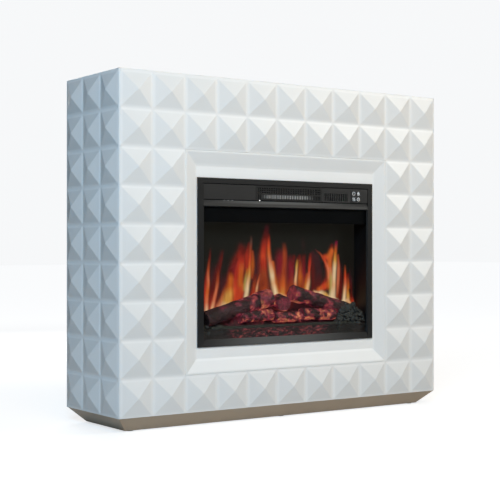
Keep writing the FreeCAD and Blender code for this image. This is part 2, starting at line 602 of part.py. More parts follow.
def cable_gland():
    """Nylon gland in the rear cover; the power cord would pass through its bore."""
    y = CASE_BACK
    hexagon = [(GLAND_X + 13 * math.cos(math.radians(60 * i)), y + SHEET,
                GLAND_Z + 13 * math.sin(math.radians(60 * i))) for i in range(6)]
    nut = prism(hexagon, (0, 7, 0))
    dome = Part.makeCone(11, 7, 8, V(GLAND_X, y + SHEET + 7, GLAND_Z), Y)
    neck = bar(Y, (GLAND_X, y - 8, GLAND_Z), 8 + SHEET, GLAND_NECK)
    lock = bar(Y, (GLAND_X, y - 6, GLAND_Z), 6, 12)
    bore = bar(Y, (GLAND_X, y - 10, GLAND_Z), 40, GLAND_BORE)
    return fuse([nut, dome, neck, lock]).cut(bore)


# ---- insert: flame works ----
def flame_screen():
    return box(-IN_X + 0.5, IN_X - 0.5, SCREEN_Y, SCREEN_Y + SCREEN, IN_Z0 + 22, DECK_Z)


def flame_mask():
    """Sheet between rotor and screen with flame-shaped windows."""
    sheet = box(-IN_X + 2, IN_X - 2, -54, -53, IN_Z0, DECK_Z - 30)
    windows = []
    heights = (150, 210, 120, 240, 170, 260, 140, 220, 160, 130)
    pitch = 54.0
    for i, height in enumerate(heights):
        x = (i - (len(heights) - 1) / 2) * pitch
        foot, tip = V(x, -55, 262), V(x + 6, -55, 262 + height)
        left, right = V(x - 15, -55, 262 + height * 0.35), V(x + 15, -55, 262 + height * 0.3)
        outline = Part.Wire([Part.Arc(foot, left, tip).toShape(), Part.Arc(tip, right, foot).toShape()])
        windows.append(Part.Face(outline).extrude(V(0, 3, 0)))
    return sheet.cut(windows)


BRACKETS_X = (-272.0, 250.0)
FLAG_PITCH, FLAG_TURN, FLAG_T, HUB_R, HUB_L = 41.0, 55.0, 0.8, 5.5, 10.0
BUSH_R, BUSH_L = 6.0, 8.0
MOTOR_X = 262.0


def rotor_shaft():
    return bar(X, (BRACKETS_X[0] - 6, ROTOR_Y, ROTOR_Z), MOTOR_X + 14 - BRACKETS_X[0] + 6, SHAFT_R)


def rotor_flags():
    """Polished blades clipped on the shaft, each turned from the last."""
    flags = []
    for i in range(FLAGS):
        x = BRACKETS_X[0] + 32 + i * FLAG_PITCH
        blade = box(x - FLAG_W / 2, x + FLAG_W / 2, ROTOR_Y - FLAG_T / 2, ROTOR_Y + FLAG_T / 2,
                    ROTOR_Z - FLAG_R, ROTOR_Z + FLAG_R)
        hub = bar(X, (x - HUB_L / 2, ROTOR_Y, ROTOR_Z), HUB_L, HUB_R)
        flag = blade.fuse(hub).cut(bar(X, (x - FLAG_W, ROTOR_Y, ROTOR_Z), 2 * FLAG_W, SHAFT_R))
        flag.rotate(V(0, ROTOR_Y, ROTOR_Z), X, i * FLAG_TURN)
        flags += flag.Solids
    return Part.makeCompound(flags)


def rotor_brackets():
    brackets = []
    for x in BRACKETS_X:
        plate = box(x, x + 1.5, ROTOR_Y - 17, ROTOR_Y + 17, IN_Z0, ROTOR_Z + 16)
        foot = box(x - 14, x + 1.5, ROTOR_Y - 17, ROTOR_Y + 17, IN_Z0, IN_Z0 + 1.5)
        brackets.append(plate.fuse(foot).cut(bar(X, (x - 5, ROTOR_Y, ROTOR_Z), 12, BUSH_R)))
    return Part.makeCompound(brackets)


def rotor_bushes():
    bushes = []
    for x in BRACKETS_X:
        sleeve = bar(X, (x - 2, ROTOR_Y, ROTOR_Z), BUSH_L, BUSH_R)
        collar = bar(X, (x + 1.5, ROTOR_Y, ROTOR_Z), 2, BUSH_R + 2)
        bore = bar(X, (x - 10, ROTOR_Y, ROTOR_Z), 30, SHAFT_R + RUNNING)
        bushes.append(sleeve.fuse(collar).cut(bore))
    return Part.makeCompound(bushes)


def rotor_motor():
    """Slow synchronous motor whose bore takes the end of the rotor shaft."""
    can = bar(X, (MOTOR_X + 2, ROTOR_Y, ROTOR_Z), 18, 24)
    boss = bar(X, (MOTOR_X - 2, ROTOR_Y, ROTOR_Z), 5, 8)
    ears = box(MOTOR_X + 2, MOTOR_X + 3.2, ROTOR_Y - 8, ROTOR_Y + 8, ROTOR_Z - 34, ROTOR_Z + 34)
    bore = bar(X, (MOTOR_X - 3, ROTOR_Y, ROTOR_Z), 18, SHAFT_R + RUNNING)
    return fuse([can, boss, ears]).cut(bore)


STRIPS_Y, STRIP_X0, STRIP_X1, STRIP_W, STRIP_T = (-96.0, -22.0), -262.0, 232.0, 16.0, 1.6
LEDS, LED_X0, LED_PITCH, LED_W, LED_H = 16, -250.0, 30.0, 5.0, 1.0


def led_boards():
    """One light strip under the ember bed and one under the flame rotor."""
    boards = []
    top = IN_Z0 + STRIP_T
    for y in STRIPS_Y:
        strip = box(STRIP_X0, STRIP_X1, y - STRIP_W / 2, y + STRIP_W / 2, IN_Z0, top)
        starts = [LED_X0 + i * LED_PITCH for i in range(LEDS)]
        leds = [box(x, x + LED_W, y - LED_W / 2, y + LED_W / 2, top, top + LED_H) for x in starts]
        boards.append(fuse([strip] + leds))
    return boards


# ---- insert: fuel bed ----
BED_FRONT_Z, BED_REAR_Z = IN_Z0 + 20.0, IN_Z0 + 46.0


def ember_bed(leds):
    """Translucent moulded bed, hollow over its light strip."""
    x = -IN_X + 1
    outline = [(x, BED_Y0, IN_Z0), (x, BED_Y1, IN_Z0), (x, BED_Y1, BED_REAR_Z), (x, BED_Y1 - 24, BED_REAR_Z),
               (x, BED_Y0 + 14, BED_FRONT_Z + 4), (x, BED_Y0 + 4, BED_FRONT_Z), (x, BED_Y0, BED_FRONT_Z - 5)]
    bed = prism(outline, (2 * IN_X - 2, 0, 0))
    hollow = box(-IN_X + 8, IN_X - 8, BED_Y0 + 5, BED_Y1 - 5, IN_Z0 - 1, IN_Z0 + 12)
    return bed.cut(hollow).cut(leds)


GRATE_X, GRATE_T, GRATE_H, GRATE_LIFT = 252.0, 6.0, 9.0, 9.0
POSTS_X, POST_W, POST_ROOT = (-200.0, 0.0, 200.0), 8.0, 8.0


def grate_bar():
    """Low iron bar that stands in front of the logs."""
    y, z = BED_Y0 + GRATE_T, BED_FRONT_Z + GRATE_LIFT
    rail = box(-GRATE_X, GRATE_X, y, y + GRATE_T, z, z + GRATE_H)
    posts = [box(x - POST_W / 2, x + POST_W / 2, y, y + GRATE_T, BED_FRONT_Z - POST_ROOT, z) for x in POSTS_X]
    return fuse([rail] + posts)


def log(start, end, r_start, r_end):
    """A tapered round log between two points."""
    axis = V(*end) - V(*start)
    return Part.makeCone(r_start, r_end, axis.Length, V(*start), axis)


LOGS = {
    "log_left": [((-260, -97, 282), (-43, -97, 340), 24, 26)],
    "log_right": [((37, -97, 350), (272, -97, 290), 26.5, 19)],
    "log_center": [((6, -72, 326), (-6, -112, 322), 24, 25)],
    "front_logs": [((-150, -105, 285), (-42, -104, 291), 17, 18.5),
                   ((-34, -106, 282), (60, -105, 284), 17, 16),
                   ((66, -104, 289), (182, -104, 283), 19, 17)],
    "coal_lumps": [((190, -105, 259), (214, -103, 264), 18, 15), ((212, -103, 285), (238, -101, 288), 19, 16),
                   ((240, -105, 259), (266, -103, 262), 19, 16), ((256, -98, 290), (284, -98, 287), 17, 15),
                   ((-282, -104, 256), (-254, -102, 259), 18, 14),
                   ((-247, -107, 252), (-219, -105, 258), 16, 13)]}
LOG_GAP = 0.2


def fuel(bar_in_front):
    """Logs and lumps: each is trimmed by what it would otherwise run into."""
    room = box(-IN_X + 3, IN_X - 3, BED_Y0 + LOG_GAP, BED_Y1 - LOG_GAP, BED_FRONT_Z, DECK_Z)
    taken = [bar_in_front]
    nodes = {}
    for name, pieces in LOGS.items():
        solids = []
        for piece in pieces:
            shape = log(*piece).common(room).cut(taken)
            largest = max(shape.Solids, key=lambda s: s.Volume)
            solids.append(largest)
            taken.append(largest)
        nodes[name] = Part.makeCompound(solids) if len(solids) > 1 else solids[0]
    return nodes


# ---- assembly ----
def build():
    plinth_front, plinth_rear, plinth_sides = plinth()
    right = side_panel()
    cheek = niche_cheek()
    wall = case_side()
    upper_rail, lower_rail = rear_rails()
    boards = led_boards()
    bed = ember_bed(boards)
    grate = grate_bar()
    wood_screws = panel_screws()
    metal_screws = case_screws()
    drilled = wood_screws + metal_screws
    nodes = {
        "front_panel": cut(front_panel(), wood_screws),
        "left_side_panel": mirrored(right),
        "right_side_panel": right,
        "top_panel": box(-INNER_X, INNER_X, INNER_Y, BACK, Z1 - PANEL, Z1),
        "bottom_panel": box(-INNER_X, INNER_X, INNER_Y, BACK, Z0, Z0 + PANEL),
        "recess_surround": recess_surround(),
        "plinth_front": plinth_front,
        "plinth_rear": plinth_rear,
        "plinth_sides": plinth_sides,
        "plinth_glides": plinth_glides(),
        "niche_shelf": niche_shelf(),
        "niche_cheeks": Part.makeCompound([cut(mirrored(cheek), drilled), cut(cheek, drilled)]),
        "rear_rails": Part.makeCompound([cut(upper_rail, wood_screws), lower_rail]),
        "corner_battens": Part.makeCompound([cut(b, wood_screws) for b in battens()]),
        "anti_tip_plates": Part.makeCompound([cut(p, wood_screws) for p in anti_tip_plates()]),
        "panel_screws": Part.makeCompound(wood_screws),
        "trim_frame": trim_frame(),
        "fascia_panel": fascia_panel(),
        "pilot_light": pilot_light(),
        "heater_grille": heater_grille(),
        "intake_grille": intake_grille(),
        "button_bezel": button_bezel(),
        "control_board": control_board(),
        "front_glass": front_glass(),
        "case_left_side": cut(mirrored(wall), metal_screws),
        "case_right_side": cut(wall, metal_screws),
        "case_top": case_plate(IN_Z1, CASE_Z1),
        "case_base": case_plate(CASE_Z0, IN_Z0),
        "rear_cover": cut(rear_cover(), metal_screws),
        "case_screws": Part.makeCompound(metal_screws),
        "insert_feet": insert_feet(),
        "heater_deck": heater_deck(),
        "upper_valance": upper_valance(),
        "blower_housing": blower_housing(),
        "blower_wheel": blower_wheel(),
        "blower_motor": blower_motor(),
        "heater_element": heater_element(),
        "thermal_cutout": thermal_cutout(),
        "power_supply": power_supply(),
        "terminal_block": terminal_block(),
        "cable_gland": cable_gland(),
        "flame_screen": flame_screen(),
        "flame_mask": flame_mask(),
        "rotor_shaft": rotor_shaft(),
        "rotor_flags": rotor_flags(),
        "rotor_brackets": rotor_brackets(),
        "rotor_bushes": rotor_bushes(),
        "rotor_motor": rotor_motor(),
        "led_boards": Part.makeCompound(boards),
        "grate_bar": grate}
    for name, place in KEY_PLACES.items():
        nodes[name] = button(place)
    logs = fuel(grate)
    nodes["ember_bed"] = bed.cut([grate] + list(logs.values()))
    nodes.update(logs)
    return nodes


os.makedirs("parts", exist_ok=True)
for node, shape in build().items():
    print(f"{node:20s} solids {len(shape.Solids):3d}  faces {len(shape.Faces):5d}"
          f"  valid {shape.isValid()}  {shape.Volume / 1000:.1f} cm3")
    shape.exportStep(f"parts/{node}.step")
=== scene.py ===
"""Looks of the electric fireplace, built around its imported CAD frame. Metres, Z up, front faces -Y."""
import json
import math

import bmesh
import bpy
import numpy as np
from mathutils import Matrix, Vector


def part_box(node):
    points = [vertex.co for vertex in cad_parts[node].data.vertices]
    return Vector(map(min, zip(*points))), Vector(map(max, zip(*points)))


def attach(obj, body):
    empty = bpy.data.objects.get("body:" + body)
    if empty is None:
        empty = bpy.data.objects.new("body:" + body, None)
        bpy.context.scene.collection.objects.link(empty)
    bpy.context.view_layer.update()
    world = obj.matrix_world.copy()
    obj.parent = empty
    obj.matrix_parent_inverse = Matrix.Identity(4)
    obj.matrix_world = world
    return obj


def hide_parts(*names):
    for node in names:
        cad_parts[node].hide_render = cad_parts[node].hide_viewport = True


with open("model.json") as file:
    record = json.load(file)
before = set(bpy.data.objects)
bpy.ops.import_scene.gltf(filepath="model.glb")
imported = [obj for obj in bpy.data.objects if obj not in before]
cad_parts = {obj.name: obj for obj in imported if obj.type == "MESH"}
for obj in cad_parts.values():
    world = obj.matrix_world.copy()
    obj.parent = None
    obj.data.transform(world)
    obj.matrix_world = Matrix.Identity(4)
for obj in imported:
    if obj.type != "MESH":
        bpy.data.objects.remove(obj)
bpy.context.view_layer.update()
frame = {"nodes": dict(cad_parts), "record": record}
NODES = frame["nodes"]
BODY = "fireplace"
MM = 0.001

# ---- places read from the frame ----
PANEL_LO, PANEL_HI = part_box("front_panel")
SIDE_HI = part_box("right_side_panel")[1]
SURROUND_LO, SURROUND_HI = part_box("recess_surround")
TRIM_LO, TRIM_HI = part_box("trim_frame")
GLASS_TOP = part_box("front_glass")[1].z
SCREEN_LO, SCREEN_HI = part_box("flame_screen")
BED_LO, BED_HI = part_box("ember_bed")
GRILLE_LO, GRILLE_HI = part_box("heater_grille")

# ---- the relief, as milled ----
PITCH = 100 * MM
GROOVE = 5 * MM
CORNER_MARGIN = 5.5 * MM
CORNER_RADIUS = 5 * MM
COLUMNS, ROWS, DEEP = 11, 9, 3
HALF_W = COLUMNS * PITCH / 2
RELIEF = SIDE_HI.x - HALF_W
FRONT = PANEL_LO.y + RELIEF
BACK = SIDE_HI.y
BOARD = PANEL_HI.y - FRONT
BASE_Z = PANEL_LO.z
HOLE_X, HOLE_Z0, HOLE_Z1 = SURROUND_HI.x, SURROUND_LO.z, SURROUND_HI.z
BEVEL_EDGE, BEVEL_RUN, BEVEL_DEPTH = 5 * MM, 36 * MM, 12 * MM
NICHE_GAP = 3 * MM                  # from the insert's case to the niche
GROOVE_ROUNDING, BEVEL_ROUNDING = 1.6 * MM, 1.4 * MM

# ---- camera ----
VIEW_TURN = math.radians(34.87)     # to the right of straight on
EYE = Vector((-2.0206, FRONT - 2.696, 0.475))
LENS = 86.04
SHIFT_UP = -0.0014


def camera():
    data = bpy.data.cameras.new("camera")
    data.lens = LENS
    data.sensor_width = 36.0
    data.shift_y = SHIFT_UP
    data.clip_end = 50
    cam = bpy.data.objects.new("camera", data)
    cam.location = EYE
    cam.rotation_euler = (math.pi / 2, 0, -VIEW_TURN)
    bpy.context.scene.collection.objects.link(cam)
    bpy.context.scene.camera = cam


camera()


# ---- shader nodes ----
def feed(socket, value):
    """Links an output to the socket, or puts a constant on it."""
    if isinstance(value, bpy.types.NodeSocket):
        socket.id_data.links.new(value, socket)
    elif socket.type == "RGBA":
        socket.default_value = (*value, 1)
    else:
        socket.default_value = value


def add_node(tree, kind, feeds=None, **settings):
    """A new shader node. feeds gives what goes into its sockets, by name or number."""
    node = tree.nodes.new("ShaderNode" + kind)
    for key, value in settings.items():
        setattr(node, key, value)
    for key, value in (feeds or {}).items():
        feed(node.inputs[key], value)
    return node


# ---- studio ----
BACKDROP = (0.93, 0.94, 0.95)
FILL, FILL_STRENGTH = (0.95, 0.97, 1.0), 0.05
FLOOR_REACH, FLOOR_GREY, FLOOR_GLOW = 30, (0.55, 0.55, 0.55), (0.66, 0.67, 0.68)
GLOW_NEAR, GLOW_FAR = 0.6, 5.0      # from the object, where the floor's glow turns into the backdrop's
MIDDLE = (0, 0, 0.5)
# Name, place, what it faces, size, watts and colour.
LIGHTS = [
    ("key_above", (-0.9, -2.5, 2.7), MIDDLE, (1.5, 0.9), 28, (1.0, 0.54, 0.08)),
    ("cool_left", (-2.3, -2.6, 2.3), (-0.4, 0, 0.5), (1.1, 1.1), 90, (0.48, 0.75, 1.0)),
    ("soft_right", (2.2, -2.2, 2.0), MIDDLE, (1.4, 1.4), 43, (1.0, 0.985, 0.92)),
    ("behind", (0.6, 2.8, 1.9), MIDDLE, (1.6, 1.6), 40, (1.0, 0.97, 0.92))]


def area_light(name, place, target, size, power, colour):
    data = bpy.data.lights.new(name, "AREA")
    data.shape = "RECTANGLE"
    data.size, data.size_y = size
    data.energy = power
    data.color = colour
    lamp = bpy.data.objects.new(name, data)
    lamp.location = place
    lamp.rotation_euler = (Vector(target) - Vector(place)).to_track_quat("-Z", "Y").to_euler()
    bpy.context.scene.collection.objects.link(lamp)


def studio():
    """Four soft lights, a weak fill from all round, and a pale backdrop that only the eye sees."""
    scene = bpy.context.scene
    scene.view_settings.view_transform = "Standard"
    world = bpy.data.worlds.new("studio")
    scene.world = world
    world.use_nodes = True
    tree = world.node_tree
    seen = tree.nodes["Background"]
    feed(seen.inputs["Color"], BACKDROP)
    lit = add_node(tree, "Background", {"Color": FILL, "Strength": FILL_STRENGTH})
    path = add_node(tree, "LightPath")
    mix = add_node(tree, "MixShader", {"Fac": path.outputs["Is Camera Ray"],
                                       1: lit.outputs[0], 2: seen.outputs[0]})
    feed(tree.nodes["World Output"].inputs["Surface"], mix.outputs[0])
    for light in LIGHTS:
        area_light(*light)


def floor():
    """A pale sweep: its own faint glow evens it out to the backdrop's white far away."""
    mesh = bpy.data.meshes.new("floor")
    corners = [(x * FLOOR_REACH, y * FLOOR_REACH, 0) for x, y in ((-1, -1), (1, -1), (1, 1), (-1, 1))]
    mesh.from_pydata(corners, [], [(0, 1, 2, 3)])
    plane = bpy.data.objects.new("floor", mesh)
    bpy.context.scene.collection.objects.link(plane)
    m = Surface("floor", FLOOR_GREY, 0.9)
    away = m.add("VectorMath", {0: m.place}, operation="LENGTH").outputs["Value"]
    tone = m.mix(m.between(away, GLOW_NEAR, GLOW_FAR), FLOOR_GLOW, BACKDROP)
    shine = m.add("Emission", {"Color": tone, "Strength": m.add("LightPath").outputs["Is Camera Ray"]})
    both = m.add("AddShader", {0: m.bsdf.outputs[0], 1: shine.outputs[0]})
    feed(m.output.inputs["Surface"], both.outputs[0])
    plane.data.materials.append(m.material)


# ---- material helpers ----
class Surface:
    """A Principled material with short calls for its nodes. Coordinates are the frame's metres."""

    def __init__(self, name, colour=(0.5, 0.5, 0.5), roughness=0.5, metallic=0.0, **sockets):
        self.material = bpy.data.materials.new(name)
        self.material.use_nodes = True
        self.tree = self.material.node_tree
        self.bsdf = self.tree.nodes["Principled BSDF"]
        self.output = self.tree.nodes["Material Output"]
        self.colour(colour)
        self.put("Roughness", roughness)
        self.put("Metallic", metallic)
        for key, value in sockets.items():
            self.put(key.replace("_", " "), value)
        self.place = self.add("TexCoord").outputs["Object"]

    def add(self, kind, feeds=None, **settings):
        return add_node(self.tree, kind, feeds, **settings)

    def put(self, socket, value):
        feed(self.bsdf.inputs[socket], value)

    def stretched(self, x, y, z):
        return self.add("Mapping", {"Vector": self.place, "Scale": (x, y, z)}).outputs["Vector"]

    def noise(self, scale, detail, rough=0.5, vector=None):
        node = self.add("TexNoise", {"Vector": vector or self.place, "Scale": scale, "Detail": detail,
                                     "Roughness": rough})
        return node.outputs["Fac"]

    def cells(self, scale):
        node = self.add("TexVoronoi", {"Vector": self.place, "Scale": scale}, feature="F1")
        return node.outputs["Distance"]

    def ramp(self, fac, *stops):
        """stops are (position, colour or grey)."""
        node = self.add("ValToRGB", {"Fac": fac})
        ramp = node.color_ramp
        while len(ramp.elements) < len(stops):
            ramp.elements.new(0.5)
        for element, (position, colour) in zip(ramp.elements, stops):
            element.position = position
            grey = isinstance(colour, (int, float))
            element.color = (colour, colour, colour, 1) if grey else (*colour, 1)
        return node.outputs["Color"]

    def mix(self, fac, a, b, blend="MIX"):
        node = self.add("MixRGB", {"Fac": fac, "Color1": a, "Color2": b}, blend_type=blend)
        return node.outputs["Color"]

    def blend(self, mask, low, high, a, b):
        """Colour a where the mask is below low, b where it is above high."""
        return self.mix(self.ramp(mask, (low, 0.0), (high, 1.0)), a, b)

    def math(self, operation, a, b=0.0):
        return self.add("Math", {0: a, 1: b}, operation=operation).outputs[0]

    def between(self, value, low, high):
        """0 at low, 1 at high, smooth between."""
        node = self.add("MapRange", {"Value": value, "From Min": low, "From Max": high},
                        interpolation_type="SMOOTHSTEP")
        return node.outputs["Result"]

    def band(self, value, rise, fall):
        """1 inside a band. Each side says where it is 0 and where it is 1."""
        return self.math("MULTIPLY", self.between(value, *rise), self.between(value, *fall))

    def axes(self):
        return self.add("SeparateXYZ", {0: self.place}).outputs

    def colour(self, value):
        self.put("Base Color", value)

    def roughness(self, fac, low, high):
        node = self.add("MapRange", {"Value": fac, "To Min": low, "To Max": high})
        self.put("Roughness", node.outputs["Result"])

    def bump(self, height, depth, strength):
        node = self.add("Bump", {"Strength": strength, "Distance": depth, "Height": height})
        self.put("Normal", node.outputs["Normal"])

    def glow(self, colour, strength=1.0):
        self.put("Emission Color", colour)
        self.put("Emission Strength", strength)


# ---- materials ----
BLACK = (0, 0, 0)
WHITE, WHITE_SHADE = (0.86, 0.86, 0.85), (0.83, 0.83, 0.82)
# Painted highlight: lighter whites for the groove floors and recess, and for the recess's flat band.
GROOVE_HIGHLIGHT_WHITE, BAND_HIGHLIGHT_WHITE = (0.895, 0.895, 0.885), (0.95, 0.95, 0.94)
TAUPE, TAUPE_SHADE = (0.66, 0.52, 0.38), (0.61, 0.475, 0.345)
SATIN = 0.34


def toned(colour, factor):
    return tuple(c * factor for c in colour)


def lacquer(name, colour):
    """Sprayed satin lacquer on MDF, with a faint orange peel."""
    m = Surface(name, colour, SATIN, Specular_IOR_Level=0.45)
    m.roughness(m.noise(14.0, 3), SATIN - 0.05, SATIN + 0.06)
    m.bump(m.noise(420.0, 2), 0.06 * MM, 0.5)
    return m


def clouded(m, scale, colour, shade):
    return m.blend(m.noise(scale, 3), 0.35, 0.7, colour, shade)


def taupe_lacquer():
    m = lacquer("taupe_paint", TAUPE)
    m.colour(clouded(m, 3.0, TAUPE, TAUPE_SHADE))
    return m


def white_lacquer():
    """The mantel's paint, painted lighter on the groove floors and in the recess, and lightest on its flat
    band, than on the pyramids: painted highlight.
    """
    m = lacquer("white_paint", WHITE)
    x, y, _ = m.axes()
    in_front = m.between(y, FRONT - 1.8 * MM, FRONT - 0.6 * MM)
    at_side = m.between(m.math("ABSOLUTE", x), HALF_W + 1.8 * MM, HALF_W + 0.6 * MM)
    on_band = m.between(y, FRONT + BEVEL_DEPTH - 3 * MM, FRONT + BEVEL_DEPTH - 1 * MM)
    # Painted highlight: the groove floors and the recess get the lighter whites instead of the clouded paint.
    painted_highlight = m.mix(on_band, GROOVE_HIGHLIGHT_WHITE, BAND_HIGHLIGHT_WHITE)
    m.colour(m.mix(m.math("MULTIPLY", in_front, at_side), clouded(m, 3.0, WHITE, WHITE_SHADE), painted_highlight))
    return m


def raw_mdf():
    m = Surface("raw_board", (0.45, 0.31, 0.19), 0.85)
    fibre = m.noise(900.0, 6, 0.7, m.stretched(1, 1, 0.5))
    base = clouded(m, 9.0, (0.47, 0.33, 0.20), (0.40, 0.27, 0.16))
    m.colour(m.blend(fibre, 0.42, 0.62, base, (0.56, 0.42, 0.28)))
    m.bump(fibre, 0.25 * MM, 0.5)
    return m


def pine():
    m = Surface("pine", (0.62, 0.42, 0.22), 0.7)
    grain = m.noise(60.0, 5, 0.6, m.stretched(1, 1, 0.06))
    dark, middle, light = (0.46, 0.28, 0.13), (0.66, 0.46, 0.25), (0.74, 0.56, 0.34)
    m.colour(m.ramp(grain, (0.3, dark), (0.5, middle), (0.75, light)))
    m.bump(grain, 0.2 * MM, 0.5)
    return m


def fine_grain(m, colour, high_spots):
    """The colour of a powder coat's grain, which also gets its bumps."""
    grain = m.noise(1400.0, 3, 0.6)
    m.bump(grain, 0.05 * MM, 0.6)
    return m.blend(grain, 0.4, 0.62, colour, high_spots)


def powder_coat(name, colour, roughness):
    m = Surface(name, colour, roughness, Specular_IOR_Level=0.5)
    m.colour(fine_grain(m, colour, toned(colour, 1.5)))
    m.roughness(m.noise(25.0, 3), roughness - 0.05, roughness + 0.07)
    return m


def frame_with_painted_sheen():
    """The frame's coat; its two cross bars are painted paler, most in the middle: a painted sheen."""
    m = Surface("frame_coat", (0.007, 0.007, 0.0075), 0.45, Specular_IOR_Level=0.35)
    x, _, z = m.axes()
    middle = m.band(x, (TRIM_LO.x * 1.05, TRIM_LO.x * 0.25), (TRIM_HI.x * 0.95, 0.0))
    below = m.between(z, SCREEN_LO.z, SCREEN_LO.z - 6 * MM)
    above = m.band(z, (GLASS_TOP - 4 * MM, GLASS_TOP + 2 * MM), (GRILLE_LO.z - 2 * MM, GRILLE_LO.z - 4 * MM))
    bars = m.math("ADD", below, above)
    coat = fine_grain(m, (0.006, 0.006, 0.0065), (0.010, 0.010, 0.0105))
    # Painted sheen: the middle of both cross bars is coloured paler than the coat.
    m.colour(m.mix(m.math("MULTIPLY", middle, bars), coat, (0.085, 0.085, 0.082)))
    m.put("Roughness", m.ramp(m.math("MULTIPLY", bars, 0.9), (0.0, 0.42), (1.0, 0.62)))
    return m


def moulded(name, colour, roughness):
    m = Surface(name, colour, roughness)
    m.colour(m.blend(m.noise(70.0, 3), 0.4, 0.7, colour, toned(colour, 1.25)))
    m.roughness(m.noise(160.0, 2), roughness - 0.06, roughness + 0.06)
    m.bump(m.cells(1500.0), 0.05 * MM, 0.5)
    return m


def sheet_steel(name, colour, roughness, spangle):
    m = Surface(name, colour, roughness, 1.0)
    m.colour(m.blend(m.cells(spangle), 0.1, 0.8, colour, toned(colour, 0.8)))
    m.roughness(m.noise(spangle, 2), roughness - 0.08, roughness + 0.1)
    m.bump(m.noise(500.0, 2, 0.5, m.stretched(1, 1, 0.1)), 0.02 * MM, 0.4)
    return m


def matt_black(name):
    """Matt sprayed near-black that hardly shows: the valance's lining, and the strip of painted shadow above
    and below the control strip.
    """
    m = Surface(name, (0.003, 0.003, 0.004), 0.7, Specular_IOR_Level=0.05)
    m.roughness(m.noise(120.0, 3), 0.5, 0.7)
    m.bump(m.noise(900.0, 2), 0.04 * MM, 0.5)
    return m


def case_wall():
    """Black paint, with bare galvanised sheet on the sides' outer faces and below the floor."""
    m = Surface("case_wall", (0.5, 0.52, 0.53), 0.4, 1.0)
    x, _, z = m.axes()
    corner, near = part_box("case_base")[1], 0.1 * MM
    inside = m.math("LESS_THAN", m.math("ABSOLUTE", x), corner.x + near)
    above = m.math("GREATER_THAN", z, corner.z - near)
    black = m.math("MULTIPLY", inside, above)
    spangled = m.blend(m.cells(90.0), 0.1, 0.8, (0.55, 0.57, 0.58), (0.42, 0.44, 0.46))
    m.colour(m.mix(black, spangled, (0.005, 0.005, 0.006)))
    m.put("Metallic", m.math("SUBTRACT", 1.0, black))
    m.roughness(m.noise(60.0, 3), 0.38, 0.55)
    return m


RIB_BEAT = 8.8 * MM                 # from one bright rib of the outlet grille to the next


def grille_metal():
    """Dark mesh; low down, the bars between the slots are painted bright in the middle: a painted sheen,
    striped rib by rib.
    """
    m = Surface("grille_metal", (0.05, 0.05, 0.05), 0.4, 0.5)
    x, _, z = m.axes()
    up = [GRILLE_LO.z + part * (GRILLE_HI.z - GRILLE_LO.z) for part in (0.07, 0.16, 0.42, 0.34)]
    ends = m.band(x, (GRILLE_LO.x * 0.88, GRILLE_LO.x * 0.60), (GRILLE_HI.x * 0.80, GRILLE_HI.x * 0.40))
    low = m.math("MULTIPLY", m.band(z, up[:2], up[2:]), ends)
    brushed = m.noise(700.0, 3, 0.6, m.stretched(0.05, 1, 1))
    bright = m.ramp(brushed, (0.35, (0.24, 0.24, 0.24)), (0.65, (0.38, 0.38, 0.37)))
    beat = m.math("SINE", m.math("MULTIPLY", x, 2 * math.pi / RIB_BEAT))
    stripes = m.ramp(m.math("ADD", m.math("MULTIPLY", beat, 0.5), 0.5), (0.15, 0.45), (0.85, 1.25))
    # Painted sheen: the low band is coloured bright, striped with the ribs, over the dark mesh.
    m.colour(m.mix(low, (0.018, 0.018, 0.018), m.mix(1.0, bright, stripes, "MULTIPLY")))
    m.roughness(brushed, 0.34, 0.48)
    m.bump(brushed, 0.03 * MM, 0.4)
    return m


def lamp_lens():
    m = Surface("lamp_lens", (0.8, 0.82, 0.84), 0.15)
    m.roughness(m.noise(2000.0, 2), 0.1, 0.25)
    m.glow((1.0, 0.98, 0.95), 5.0)
    return m


def circuit_board():
    m = Surface("circuit_board", (0.02, 0.15, 0.06), 0.45)
    tracks = m.add("TexBrick", {"Vector": m.place, "Scale": 120.0, "Color1": (0.015, 0.14, 0.05),
                                "Color2": (0.02, 0.18, 0.07), "Mortar": (0.05, 0.30, 0.12)})
    m.colour(tracks.outputs["Color"])
    m.bump(m.noise(800.0, 2), 0.05 * MM, 0.4)
    return m


def ceramic():
    m = Surface("ceramic", (0.62, 0.58, 0.5), 0.7)
    m.colour(m.ramp(m.noise(500.0, 4), (0.3, (0.5, 0.47, 0.4)), (0.7, (0.68, 0.65, 0.57))))
    m.bump(m.noise(900.0, 3), 0.08 * MM, 0.5)
    return m


def clear_glass():
    """Thin clear pane: mostly straight through, with a faint reflection."""
    m = Surface("clear_glass")
    clear = m.add("BsdfTransparent", {"Color": (0.93, 0.95, 0.94)})
    shine = m.add("BsdfGlossy", {"Color": (1, 1, 1), "Roughness": 0.03})
    facing = m.add("Fresnel", {"IOR": 1.10})
    both = m.add("MixShader", {"Fac": facing.outputs[0], 1: clear.outputs[0], 2: shine.outputs[0]})
    feed(m.output.inputs["Surface"], both.outputs[0])
    m.tree.nodes.remove(m.bsdf)
    return m


def cast_iron():
    m = Surface("cast_iron", (0.045, 0.045, 0.038), 0.6, 0.3)
    m.bump(m.noise(450.0, 5, 0.65), 0.35 * MM, 0.7)
    m.roughness(m.noise(60.0, 3), 0.5, 0.75)
    return m


